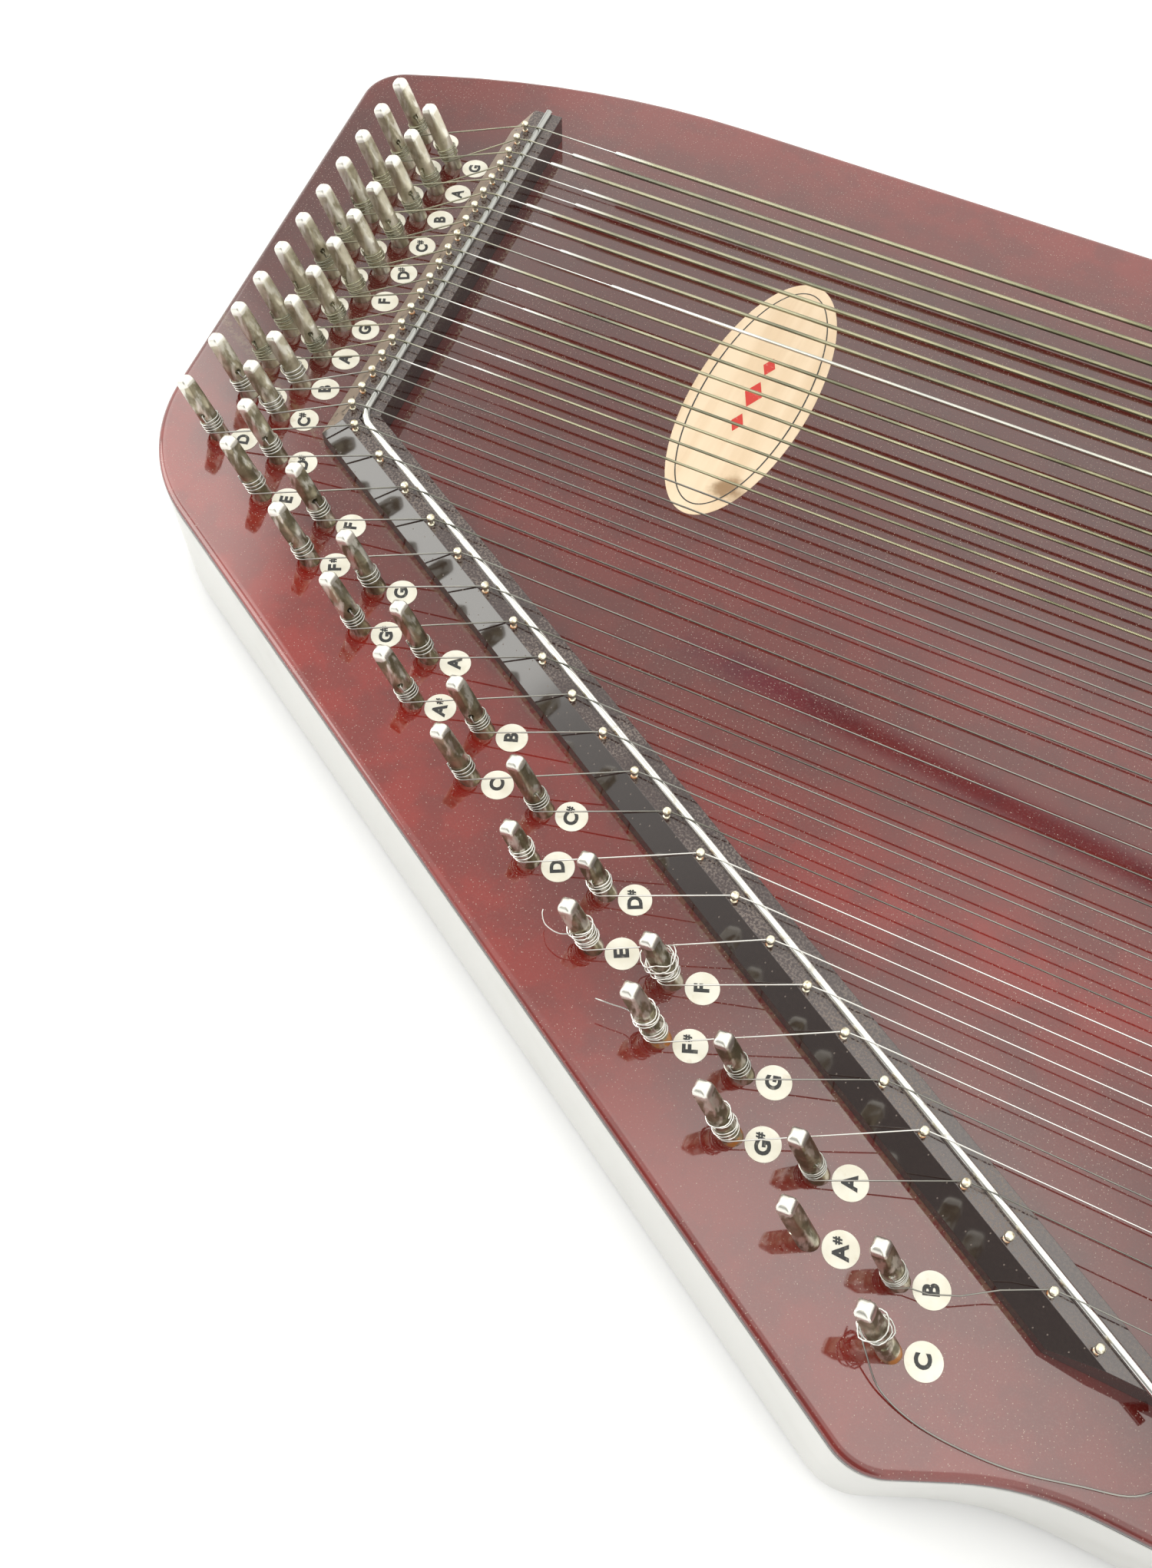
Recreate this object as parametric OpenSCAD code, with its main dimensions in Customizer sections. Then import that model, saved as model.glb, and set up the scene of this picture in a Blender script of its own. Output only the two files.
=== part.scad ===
// Chorded zither with 43 strings: a shallow wooden box, tuning pins along the
// short end and the long diagonal edge, a black bridge with a bent steel rod,
// and twelve sprung chord bars that damp the strings through felt pads.
//
// Every module is drawn in the string frame: x runs along the strings from the
// bend of the bridge rod towards the hitch pins, y runs from treble to bass and
// is 0 midway between strings 20 and 21, and z is 0 on the face of the
// soundboard. place() moves that frame so that the origin of the part is at the
// centre of its footprint, on the surface that it rests on.

/* [Body] */
// Distance from the bend of the bridge rod to the hitch end
hitch_end_x = 500; // [490:1:515]
// Distance from the middle of the strings to the bass side
bass_edge_y = 165.5; // [163:0.5:170]
// Distance from the middle of the strings to the treble side
treble_edge_y = 172; // [170:0.5:176]
// Thickness of the whole body, soundboard to back
body_depth = 40; // [34:1:46]
// Thickness of the soundboard
top_t = 4; // [3:0.5:5]
// Thickness of the back
back_t = 4; // [3:0.5:5]
// Width of the bass and treble rails
rail_w = 20; // [18:1:24]
// Radius of the sound hole
hole_r = 25; // [20:1:26]
// Height of the rubber feet
foot_h = 4; // [3:0.5:6]

/* [Strings] */
// Distance from one string to the next
pitch = 6.4; // [6.3:0.05:6.45]
// Angle of the end part of the bridge from square across the strings
end_slant = 4.5; // [4:0.1:5]
// Angle of the diagonal part of the bridge from the strings
diagonal_slant = 29.35; // [29:0.05:29.7]
// Slant of the hitch bridge from square across the strings
hitch_slant = 5.7; // [5:0.1:6.5]
// Distance from the bend of the bridge rod to the hitch bridge rod
hitch_rod_x = 446; // [444:1:450]
// Diameter of the steel rods that the strings cross
rod_d = 2; // [1.6:0.1:2.4]
// Height of the flat top of the bridge
bridge_h = 8.3; // [7.5:0.1:9]

/* [Tuning pins] */
// Diameter of a tuning pin
pin_d = 5; // [4.8:0.1:5.2]
// Height of a tuning pin's top above the soundboard
pin_h = 19; // [17:0.5:22]
// Depth that a tuning pin is driven into the pin block
pin_depth = 26; // [20:1:28]
// Lean of the tuning pins away from the strings
pin_lean = 21.8; // [20:0.1:22]
// Diameter of the round paper note labels
label_d = 8; // [7:0.5:8]

/* [Chord bars] */
// Distance from one chord bar to the next
bar_pitch = 11; // [10.6:0.1:11]
// Width of a chord bar
bar_w = 7; // [6:0.5:7]
// Height of a chord bar
bar_h = 10; // [8:0.5:11]
// Travel of a chord bar from rest to where its felts meet the strings
bar_travel = 4; // [3:0.5:4.5]
// Diameter of a chord button
button_d = 9.4; // [8:0.2:9.8]

/* [Hidden] */
$fn = 48;

string_count = 43;
last_end_string = 20;
last_end_pin = 21;
last_wound = 17;
bare_pin = 41;
slack_string = 42;
bar_count = 12;

// Outline of the box: corner x, corner y, corner radius. The ends that touch
// the measured edges are worked out from the body values.
outline_corners = [
    [-8.2, bass_edge_y, 270],
    [-76, bass_edge_y - 27.3, 14],
    [-56.2, -30.3, 52],
    [217.2, -186.1, 14],
    [248.9, -treble_edge_y, 70],
    [hitch_end_x, -treble_edge_y, 22],
    [hitch_end_x, bass_edge_y, 22]
];
end_reach_x = 74.85;
ear_reach_y = 184.43;
field_x = (end_reach_x - hitch_end_x) / 2;
field_y = (ear_reach_y - bass_edge_y) / 2;
field_z = foot_h + body_depth;

rod_z = bridge_h + rod_d / 2 - 0.5;
rod_top_z = rod_z + rod_d / 2;
bend_y = 0.5;
bend_r = 8;
end_rod_l = 134;
diagonal_rod_l = 306;
bridge_pin_gap = 4;
bridge_pin_r = 0.55;
bridge_head_r = 1.05;
base_string_side = 4.3;
base_ridge = 4.8;
base_toe = 10.3;
base_toe_h = 3.7;
base_treble_y = -147.7;
hitch_base_w = 12;
label_t = 0.15;
label_lead = [6.9, 1.2];
coil_z = 3.8;
coil_l = 3;
coil_clear = 0.05;
coil_cover = 0.03;

holder_x0 = 284;
holder_x1 = 415;
holder_ear = 7;
holder_ear_h = 10;
holder_bass_y = 132;
holder_treble_y = -149;
holder_w = 19;
pocket_depth = 14;
bar_x1 = 289;
bar_gap = 0.3;
bar_z = 20.5;
holder_h = bar_z + bar_h + 4.5;
spring_seat_z = 5;
spring_r = 2.7;
felt_w = bar_w - 1;
felt_clear = 0.25;
felt_y_reach = 3;
button_h = 8;
button_rows_y = [20, -6];

// Pitch classes of each chord, counted in semitones from F sharp, the note of
// string 1: twelve chords, majors and minors a fifth apart.
chord_roots = [9, 4, 11, 6, 1, 8, 3, 10, 6, 1, 8, 3];
first_minor = 9;

foot_places = [[-42, 104], [185, -146], [472, 138], [472, -146]];

// Points that the loose treble wire passes, from the top of its tuning pin,
// down to the soundboard, round the ear and back to its hitch pin.
loose_route = [
    [207, -157, 15], [207.2, -161.2, 11], [211, -165, 5.5], [216, -169, 1.5],
    [224, -171.5, 0.6], [234, -172, 0.4], [245, -171, 0.4], [257, -168, 0.4],
    [267, -165, 0.4], [273, -158.5, 0.4], [275.2, -151, 0.5], [278.5, -147.3, 0.6], [288, -146.5, 0.8],
    [345, -146.4, 0.6], [405, -146.3, 1.4], [418, -146, 5],
    [426, -146, 8.6], [432, -146, 10.2], [440, -146, 8], [450, -146, 4.4], [455, -146, 3]
];
loose_d = 0.4;

// ---------- places ----------

function string_y(k) = (last_end_string + 0.5 - k) * pitch;

function on_end(k) = k <= last_end_string;

// x of the bridge rod's centre line at height y across the strings
function rod_x(y) = y > bend_y
    ? -(y - bend_y) * tan(end_slant)
    : -(y - bend_y) / tan(diagonal_slant);

function bridge_pin_x(k) = on_end(k)
    ? rod_x(string_y(k)) - bridge_pin_gap
    : rod_x(string_y(k)) - bridge_pin_gap * 1.55;

function hitch_x(y) = hitch_rod_x + y * tan(hitch_slant);

function is_odd(k) = k % 2 == 1;

// Foot of tuning pin k on the soundboard: outer rows are odd, inner rows even
function pin_foot(k) =
    k == last_end_pin ? [-37.2, -16]
    : k > last_end_pin && is_odd(k) ? [-15.3, -29] + (k - 23) / 2 * [23.05, -13.2]
    : k > last_end_pin ? [-18.1, -16] + (k - 22) / 2 * [23, -13.12]
    : is_odd(k) ? [-38 - 0.065 * (string_y(k) - 9), string_y(k) - 9]
    : [-25.6 - 0.05 * string_y(k), 0.97 * string_y(k) - 5.6];

// Pins that stand lower or higher than the rest, as number and height
odd_heights = [[33, 14], [34, 14.5], [35, 17.5], [36, 18], [37, 21.5], [38, 16.5],
    [39, 22.5], [43, 24.5], [18, 17], [20, 17.5]];

function pin_top(k) =
    let (found = search(k, odd_heights, 1, 0))
    len(found) > 0 ? odd_heights[found[0]][1] : pin_h;

// Point on pin k's axis at height z above the soundboard
function on_pin(k, z) = [pin_foot(k).x - z * tan(pin_lean), pin_foot(k).y, z];

function core_d(k) = k <= last_wound ? 0.45 : 0.5 - 0.2 * (k - last_wound - 1) / 25;

function wound_d(k) = 1.3 - 0.6 * (k - 1) / (last_wound - 1);

function string_d(k) = k <= last_wound ? wound_d(k) : core_d(k);

// Highest point of string k between the bridges
function string_top(k) = rod_top_z + core_d(k) / 2 + string_d(k) / 2;

// ---------- helpers ----------

module place() {
    translate([field_x, field_y, field_z]) children();
}

function unit(v) = v / norm(v);

// Arc of radius r that rounds the corner b between a and c, as a list of points
function corner_arc(a, b, c, r) =
    let (
        to_a = unit(a - b),
        to_c = unit(c - b),
        half = acos(to_a * to_c) / 2,
        middle = b + unit(to_a + to_c) * r / sin(half),
        from = b + to_a * r / tan(half),
        to = b + to_c * r / tan(half),
        a0 = atan2(from.y - middle.y, from.x - middle.x),
        a1 = atan2(to.y - middle.y, to.x - middle.x),
        sweep = (a1 - a0 + 540) % 360 - 180,
        steps = max(4, ceil(abs(sweep) / 6))
    )
    [for (i = [0:steps]) middle + r * [cos(a0 + sweep * i / steps), sin(a0 + sweep * i / steps)]];

function rounded(corners) =
    let (n = len(corners))
    [for (i = [0:n - 1])
        let (
            a = corners[(i + n - 1) % n],
            b = corners[i],
            c = corners[(i + 1) % n]
        )
        each corner_arc([a.x, a.y], [b.x, b.y], [c.x, c.y], b[2])];

module outline(h) {
    linear_extrude(h) polygon(rounded(outline_corners));
}

// Everything on the tuning-pin side of the bridge rod's line
module pin_side(h) {
    linear_extrude(h) polygon([[-120, 220], [rod_x(220), 220], [0, bend_y], [rod_x(-220), -220],
        [-120, -220]]);
}

module hitch_side(h) {
    translate([hitch_end_x - 55, -220, 0]) cube([80, 440, h]);
}

// Tube of radius radii[i] round points[i], as one closed surface
module swept_tube(points, radii, sides = 8) {
    n = len(points);
    directions = [for (i = [0:n - 1]) unit(points[min(i + 1, n - 1)] - points[max(i - 1, 0)])];
    sideways = [for (d = directions) unit(cross([0, 0, 1], d))];
    upward = [for (i = [0:n - 1]) cross(directions[i], sideways[i])];
    rings = [for (i = [0:n - 1], j = [0:sides - 1])
        points[i] + radii[i] * (cos(360 * j / sides) * sideways[i] + sin(360 * j / sides) * upward[i])];
    ends = [[for (j = [0:sides - 1]) j], [for (j = [sides - 1:-1:0]) (n - 1) * sides + j]];
    walls = [for (i = [0:n - 2], j = [0:sides - 1])
        let (k = (j + 1) % sides, a = i * sides, b = a + sides)
        each [[a + j, b + k, a + k], [a + j, b + j, b + k]]];
    polyhedron(rings, concat(ends, walls), convexity = 8);
}

// Point at fraction s between b and c on a smooth curve through a, b, c, d
function smooth(a, b, c, d, s) =
    0.5 * (2 * b + (c - a) * s + (2 * a - 5 * b + 4 * c - d) * s * s
        + (3 * b - a - 3 * c + d) * s * s * s);

function smooth_route(p, steps) =
    let (n = len(p))
    concat([for (i = [0:n - 2], j = [0:steps - 1])
        smooth(p[max(i - 1, 0)], p[i], p[i + 1], p[min(i + 2, n - 1)], j / steps)], [p[n - 1]]);

// ---------- box ----------

module soundboard() {
    color([0.25, 0.03, 0.05]) place() difference() {
        translate([0, 0, -top_t]) outline(top_t);
        translate([243, 40, -top_t - 1]) cylinder(r = hole_r, h = top_t + 2);
        for (k = [1:string_count]) pin_bore(k);
    }
}

module back_plate() {
    color([0.85, 0.85, 0.86]) place() translate([0, 0, -body_depth]) outline(back_t);
}

frame_h = body_depth - top_t - back_t;

module pin_block() {
    color([0.85, 0.85, 0.86]) place() difference() {
        translate([0, 0, -top_t - frame_h]) intersection() {
            outline(frame_h);
            pin_side(frame_h);
        }
        for (k = [1:string_count]) pin_bore(k);
    }
}

module hitch_block() {
    color([0.85, 0.85, 0.86]) place() translate([0, 0, -top_t - frame_h]) intersection() {
        outline(frame_h);
        hitch_side(frame_h);
    }
}

module side_rails() {
    color([0.85, 0.85, 0.86]) place() translate([0, 0, -top_t - frame_h]) difference() {
        intersection() {
            outline(frame_h);
            union() {
                translate([-100, bass_edge_y - rail_w, 0]) cube([700, rail_w + 1, frame_h]);
                translate([0, -treble_edge_y - 1, 0]) cube([600, rail_w + 1, frame_h]);
            }
        }
        translate([0, 0, -1]) pin_side(frame_h + 2);
        translate([0, 0, -1]) hitch_side(frame_h + 2);
    }
}

module braces() {
    brace_w = 10;
    brace_h = 12;
    inner_l = bass_edge_y + treble_edge_y - 2 * rail_w;
    color([0.78, 0.62, 0.4]) place() difference() {
        union() {
            for (x = [110, 195, 300, 400]) {
                translate([x, -treble_edge_y + rail_w, -top_t - brace_h]) cube([brace_w, inner_l, brace_h]);
            }
            for (x = [150, 260, 360]) {
                translate([x, -treble_edge_y + rail_w, -top_t - frame_h]) cube([brace_w, inner_l, brace_h]);
            }
        }
        translate([0, 0, -top_t - frame_h - 1]) pin_side(frame_h + 2);
    }
}

// ---------- bridge ----------

// Straight run of the bridge's section along x, tuning-pin side towards -y
module bridge_run(from, to) {
    translate([from, 0, 0]) rotate([90, 0, 90]) linear_extrude(to - from)
        polygon([[-base_toe, 0], [base_string_side, 0], [base_string_side, bridge_h],
            [-base_ridge, bridge_h], [-base_toe, base_toe_h]]);
}

module rod_run(from, to) {
    translate([from, 0, rod_z]) rotate([0, 90, 0]) cylinder(d = rod_d, h = to - from);
}

// Half plane on the end side (side = 1) or the diagonal side (side = -1) of the mitre
module mitre(side) {
    translate([0, bend_y, -1]) rotate([0, 0, (90 + end_slant - diagonal_slant) / 2])
        translate([-400, side > 0 ? 0 : -400, 0]) cube([800, 400, 40]);
}

module end_line() {
    translate([0, bend_y, 0]) rotate([0, 0, 90 + end_slant]) mirror([0, 1, 0]) children();
}

module diagonal_line() {
    translate([0, bend_y, 0]) rotate([0, 0, -diagonal_slant]) children();
}

module bridge_base_end() {
    color([0.06, 0.06, 0.07]) place() difference() {
        intersection() {
            end_line() bridge_run(-30, end_rod_l);
            mitre(1);
        }
        end_line() rod_run(-30, end_rod_l + 10);
        end_line() translate([end_rod_l - 6, -base_toe, -1]) rotate([0, 0, 45])
            translate([0, -20, 0]) cube([30, 20, 20]);
    }
}

module bridge_base_diagonal() {
    color([0.06, 0.06, 0.07]) place() difference() {
        intersection() {
            diagonal_line() bridge_run(-30, 360);
            mitre(-1);
            translate([-100, base_treble_y, -1]) cube([500, 200, 40]);
        }
        diagonal_line() rod_run(-30, 400);
    }
}

// Bend of the bridge rod: the part of a ring between its two straight runs,
// reaching a little over the ends of both and a hair thicker than they are
module rod_bend() {
    bend = 90 - diagonal_slant - end_slant;
    middle = (90 + end_slant - diagonal_slant) / 2;
    to_middle = bend_r / cos(bend / 2);
    translate([to_middle * cos(middle), bend_y + to_middle * sin(middle), rod_z]) intersection() {
        rotate_extrude() translate([bend_r, 0]) circle(d = rod_d + 0.04);
        rotate([0, 0, 180 + middle]) translate([0, 0, -5]) linear_extrude(10)
            polygon([[0, 0], [20, -20 * tan(bend / 2 + 3)], [20, 20 * tan(bend / 2 + 3)]]);
    }
}

module bridge_rods() {
    tangent = bend_r * tan((90 - diagonal_slant - end_slant) / 2);
    color([0.75, 0.75, 0.74]) place() {
        end_line() rod_run(tangent, end_rod_l);
        diagonal_line() rod_run(tangent, diagonal_rod_l);
        rod_bend();
        translate([hitch_x(-149), -149, rod_z]) rotate([0, 90, 90 - hitch_slant])
            cylinder(d = rod_d, h = 279 / cos(hitch_slant));
    }
}

module bridge_pins() {
    color([0.78, 0.76, 0.68]) place() for (k = [1:string_count]) {
        translate([bridge_pin_x(k), string_y(k) - 0.7, 0]) {
            translate([0, 0, 2]) cylinder(r = bridge_pin_r, h = rod_top_z + 0.3 - 2);
            translate([0, 0, rod_top_z + 0.7]) sphere(r = bridge_head_r);
        }
    }
}

module hitch_bridge() {
    color([0.06, 0.06, 0.07]) place() difference() {
        translate([hitch_x(-152), -152, 0]) rotate([0, 0, 90 - hitch_slant]) rotate([90, 0, 90])
            linear_extrude(286) polygon([[-hitch_base_w / 2, 0], [hitch_base_w / 2, 0],
                [hitch_base_w / 2 - 3, bridge_h], [3 - hitch_base_w / 2, bridge_h]]);
        translate([hitch_x(-160), -160, rod_z]) rotate([0, 90, 90 - hitch_slant])
            cylinder(d = rod_d, h = 320);
    }
}

function hitch_pin_x(k) = hitch_x(string_y(k)) + (is_odd(k) ? 24 : 36);

module hitch_pins() {
    color([0.7, 0.66, 0.5]) place() for (k = [1:string_count]) {
        translate([hitch_pin_x(k), string_y(k), -12]) cylinder(r = 0.8, h = 16);
        translate([hitch_pin_x(k), string_y(k), 4]) cylinder(r = 1.6, h = 1);
    }
}

// ---------- tuning pins ----------

module on_pin_axis(k) {
    translate([pin_foot(k).x, pin_foot(k).y, 0]) rotate([0, -pin_lean, 0]) children();
}

module pin_bore(k) {
    clear = k == bare_pin ? 0.05 : 0;
    on_pin_axis(k) translate([0, 0, -pin_depth - 0.5]) cylinder(d = pin_d + 2 * clear, h = pin_depth + 10);
}

// Wedge that leaves two flats, narrowing upwards, on a pin's head
module flats(foot_z, l) {
    rotate([90, 0, 0]) translate([0, 0, -5]) linear_extrude(10)
        polygon([[-3, foot_z - 40], [3, foot_z - 40], [3, foot_z - 2], [2.5, foot_z],
            [1.9, foot_z + l], [-1.9, foot_z + l], [-2.5, foot_z], [-3, foot_z - 2]]);
}

module tuning_pin(k) {
    l = pin_top(k) / cos(pin_lean);
    head_l = 11;
    on_pin_axis(k) intersection() {
        translate([0, 0, -pin_depth]) cylinder(d = pin_d, h = pin_depth + l);
        flats(l - head_l, head_l);
        rotate([0, 0, 90]) flats(l - head_l, head_l);
    }
}

module tuning_pins() {
    color([0.7, 0.68, 0.62]) place() for (k = [1:string_count]) {
        if (k != bare_pin) tuning_pin(k);
    }
}

module bare_tuning_pin() {
    color([0.7, 0.68, 0.62]) place() tuning_pin(bare_pin);
}

module note_labels() {
    color([0.92, 0.9, 0.82]) place() for (k = [1:string_count]) {
        translate([pin_foot(k).x + label_lead.x, pin_foot(k).y + label_lead.y, 0])
            cylinder(d = label_d, h = label_t);
    }
}

module paper_label() {
    half_w = 17;
    half_l = 47;
    color([0.88, 0.8, 0.65]) place() translate([90, 62.5, 0]) linear_extrude(label_t)
        polygon([for (a = [0:6:354]) [half_w * cos(a), half_l * sin(a)]]);
}

// ---------- strings ----------

// Points of string k from its coil, past the bridge pin and over the rod
function string_start(k) =
    let (
        y = string_y(k),
        r = core_d(k) / 2,
        coil = on_pin(k, coil_z),
        side = pin_d / 2 + coil_clear + coil_cover + r,
        pin_pass = [bridge_pin_x(k), y - 0.7 + bridge_pin_r + r + 0.02, rod_top_z - 0.5],
        along = unit(pin_pass - coil),
        coil_exit = coil + side * [along.y, -along.x, 0],
        sag = k == slack_string ? [[(coil.x + pin_pass.x) / 2 - 3, (coil.y + pin_pass.y) / 2 - 3, 2.5]] : []
    )
    concat([coil_exit], sag, [pin_pass, [rod_x(y), y, rod_top_z + r + 0.02]]);

// Points of string k from over the hitch rod down to its hitch pin
function string_end(k) =
    let (y = string_y(k), r = core_d(k) / 2)
    [[hitch_x(y), y, rod_top_z + r + 0.02], [hitch_pin_x(k) - 2.2, y, 3]];

// Coil of wire round the tuning pin, as a plain sleeve
module coil(k) {
    on_pin_axis(k) translate([0, 0, coil_z / cos(pin_lean) - coil_l / 2]) difference() {
        cylinder(r = pin_d / 2 + coil_clear + 2 * coil_cover + core_d(k), h = coil_l);
        translate([0, 0, -1]) cylinder(r = pin_d / 2 + coil_clear, h = coil_l + 2);
    }
}

// Distance after the rod at which the winding of string k starts
function winding_start(k) = k == 9 ? 46 : 18 + 9 * sin(100 * k);

module wound_strings() {
    step = 0.8;
    color([0.62, 0.58, 0.42]) place() for (k = [1:last_wound]) {
        y = string_y(k);
        r = core_d(k) / 2;
        z = rod_top_z + r + 0.02;
        x0 = rod_x(y) + winding_start(k);
        x1 = hitch_x(y) - 12;
        points = concat(string_start(k),
            [[x0, y, z], [x0 + step, y, z], [x1 - step, y, z], [x1, y, z]], string_end(k));
        radii = [r, r, r, r, wound_d(k) / 2, wound_d(k) / 2, r, r, r];
        swept_tube(points, radii);
        coil(k);
    }
}

module plain_strings() {
    color([0.5, 0.5, 0.5]) place() for (k = [last_wound + 1:slack_string]) {
        if (k != bare_pin) {
            points = concat(string_start(k), string_end(k));
            swept_tube(points, [for (p = points) core_d(k) / 2]);
            coil(k);
        }
    }
}

module loose_string() {
    route = smooth_route(loose_route, 4);
    color([0.7, 0.7, 0.7]) place() swept_tube(route, [for (p = route) loose_d / 2]);
}

// ---------- chord bars ----------

function bar_x(n) = bar_x1 + (n - 1) * bar_pitch;

module bar_holder(y0, mouth) {
    difference() {
        union() {
            translate([holder_x0, y0, 0]) cube([holder_x1 - holder_x0, holder_w, holder_h]);
            translate([holder_x0 - holder_ear, y0, 0])
                cube([holder_x1 - holder_x0 + 2 * holder_ear, holder_w, holder_ear_h]);
        }
        for (n = [1:bar_count]) {
            translate([bar_x(n) - bar_w / 2 - bar_gap, mouth < 0 ? y0 - 1 : y0 + holder_w - pocket_depth,
                spring_seat_z])
                cube([bar_w + 2 * bar_gap, pocket_depth + 1, bar_z + bar_h + 0.2 - spring_seat_z]);
        }
        for (x = [holder_x0 - holder_ear / 2, holder_x1 + holder_ear / 2]) {
            translate([x, screw_y(y0), -1]) cylinder(r = 1.6, h = holder_ear_h + 2);
        }
    }
}

function screw_y(y0) = y0 > 0 ? y0 + 16 : y0 + 9;

module bar_holder_bass() {
    color([0.08, 0.08, 0.08]) place() bar_holder(holder_bass_y, -1);
}

module bar_holder_treble() {
    color([0.08, 0.08, 0.08]) place() bar_holder(holder_treble_y - holder_w, 1);
}

// Middle of the springs under the bar ends
spring_ys = [holder_bass_y + 8, holder_treble_y - 8];

module bar_springs() {
    color([0.7, 0.7, 0.7]) place() for (n = [1:bar_count], y = spring_ys) {
        translate([bar_x(n), y, spring_seat_z]) difference() {
            cylinder(r = spring_r, h = bar_z - spring_seat_z);
            translate([0, 0, -1]) cylinder(r = spring_r - 0.6, h = bar_z - spring_seat_z + 2);
        }
    }
}

module chord_bar(n) {
    y0 = holder_treble_y - pocket_depth + 1;
    y1 = holder_bass_y + pocket_depth - 1;
    color([0.1, 0.1, 0.1]) place()
        translate([bar_x(n) - bar_w / 2, y0, bar_z]) cube([bar_w, y1 - y0, bar_h]);
}

function third_of(n) = n < first_minor ? 4 : 3;

function is_open(n, k) =
    let (step = (k - 1 + 12 - chord_roots[n - 1]) % 12)
    step == 0 || step == third_of(n) || step == 7;

// Damped strings of bar n that start a run: the string before them rings
function run_starts(n) = [for (k = [1:string_count]) if (!is_open(n, k) && (k == 1 || is_open(n, k - 1))) k];

function run_end(n, k) = k >= string_count || is_open(n, k + 1) ? k : run_end(n, k + 1);

module felts(n) {
    color([0.75, 0.1, 0.1]) place() for (k = run_starts(n)) {
        low = string_top(k) + felt_clear + bar_travel;
        y1 = string_y(k) + felt_y_reach - 0.4;
        y0 = string_y(run_end(n, k)) - felt_y_reach + 0.4;
        translate([bar_x(n) - felt_w / 2, y0, low]) cube([felt_w, y1 - y0, bar_z - low]);
    }
}

module button(n) {
    color([0.9, 0.88, 0.8]) place()
        translate([bar_x(n), button_rows_y[n % 2], bar_z + bar_h])
        rotate_extrude() polygon([[0, 0], [3, 0], [3, 3], [button_d / 2, 4], [button_d / 2, button_h - 1.5],
            [button_d / 2 - 0.5, button_h - 0.5], [button_d / 2 - 1.6, button_h], [0, button_h + 0.2]]);
}

// ---------- feet and screws ----------

module feet() {
    color([0.08, 0.08, 0.08]) place() for (p = foot_places) {
        translate([p.x, p.y, -body_depth - foot_h]) difference() {
            cylinder(r = 8, h = foot_h);
            translate([0, 0, -1]) cylinder(r = 3.6, h = 3);
            cylinder(r = 1.6, h = foot_h + 1);
        }
    }
}

module screws() {
    color([0.7, 0.68, 0.6]) place() {
        for (p = foot_places) {
            translate([p.x, p.y, -body_depth - foot_h + 0.6]) cylinder(r = 3.2, h = 1.4);
            translate([p.x, p.y, -body_depth - foot_h + 1]) cylinder(r = 1.5, h = 18);
        }
        for (x = [holder_x0 - holder_ear / 2, holder_x1 + holder_ear / 2],
            y = [screw_y(holder_bass_y), screw_y(holder_treble_y - holder_w)]) {
            translate([x, y, -18]) cylinder(r = 1.5, h = 18 + holder_ear_h);
            translate([x, y, holder_ear_h]) cylinder(r = 3, h = 1.6);
        }
    }
}

soundboard();
back_plate();
pin_block();
hitch_block();
side_rails();
braces();
bridge_base_end();
bridge_base_diagonal();
bridge_rods();
bridge_pins();
hitch_bridge();
hitch_pins();
tuning_pins();
bare_tuning_pin();
wound_strings();
plain_strings();
loose_string();
note_labels();
paper_label();
bar_holder_bass();
bar_holder_treble();
bar_springs();
feet();
screws();
for (n = [1:bar_count]) {
    chord_bar(n);
    felts(n);
    button(n);
}
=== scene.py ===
# Looks of the chorded zither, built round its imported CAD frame.
#
# Everything is laid out in the string frame, in millimetres: x runs along the
# strings from the bend of the bridge rod towards the hitch pins, y runs across
# them from treble to bass, and z is 0 on the face of the soundboard. at() turns
# such a place into metres in the row frame.

import random
from math import acos, atan2, ceil, cos, degrees, hypot, pi, radians, remainder, sin, tan

import bmesh
import bpy
from mathutils import Matrix, Vector
from mathutils.geometry import tessellate_polygon


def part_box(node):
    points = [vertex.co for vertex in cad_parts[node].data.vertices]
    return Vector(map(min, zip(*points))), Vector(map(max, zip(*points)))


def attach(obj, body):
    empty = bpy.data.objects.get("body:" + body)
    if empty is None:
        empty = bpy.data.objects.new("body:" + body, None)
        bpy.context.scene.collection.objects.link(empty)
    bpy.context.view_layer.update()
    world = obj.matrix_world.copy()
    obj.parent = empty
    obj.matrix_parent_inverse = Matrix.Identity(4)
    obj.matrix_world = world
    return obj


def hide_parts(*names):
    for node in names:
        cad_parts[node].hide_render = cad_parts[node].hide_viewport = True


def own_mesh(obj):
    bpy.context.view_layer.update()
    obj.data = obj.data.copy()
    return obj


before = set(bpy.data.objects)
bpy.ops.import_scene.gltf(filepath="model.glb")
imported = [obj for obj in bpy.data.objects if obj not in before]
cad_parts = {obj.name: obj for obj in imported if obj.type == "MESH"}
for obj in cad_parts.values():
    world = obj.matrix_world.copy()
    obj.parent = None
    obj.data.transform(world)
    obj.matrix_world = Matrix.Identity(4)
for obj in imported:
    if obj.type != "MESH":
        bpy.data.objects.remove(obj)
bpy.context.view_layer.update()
rng = random.Random(43)

# ---------- places and sizes, in mm ----------

# Body
HITCH_END = 500
BASS_EDGE = 165.5
TREBLE_EDGE = 172
TOP_T = 4
BACK_T = 4
BODY_DEPTH = 40
RAIL_W = 20
RIM_T = 2.3
RIM_INSET = 0.2
RIM_ROUND = 2
HITCH_BLOCK_X = 445
SOUND_HOLE_PLACE = (243, 40)
SOUND_HOLE_R = 25

# Outline corners of the body: x, y, radius
OUTLINE = (
    (-8.2, BASS_EDGE, 270),
    (-76, BASS_EDGE - 27.3, 14),
    (-56.2, -30.3, 52),
    (217.2, -186.1, 14),
    (248.9, -TREBLE_EDGE, 70),
    (HITCH_END, -TREBLE_EDGE, 22),
    (HITCH_END, BASS_EDGE, 22),
)

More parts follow.
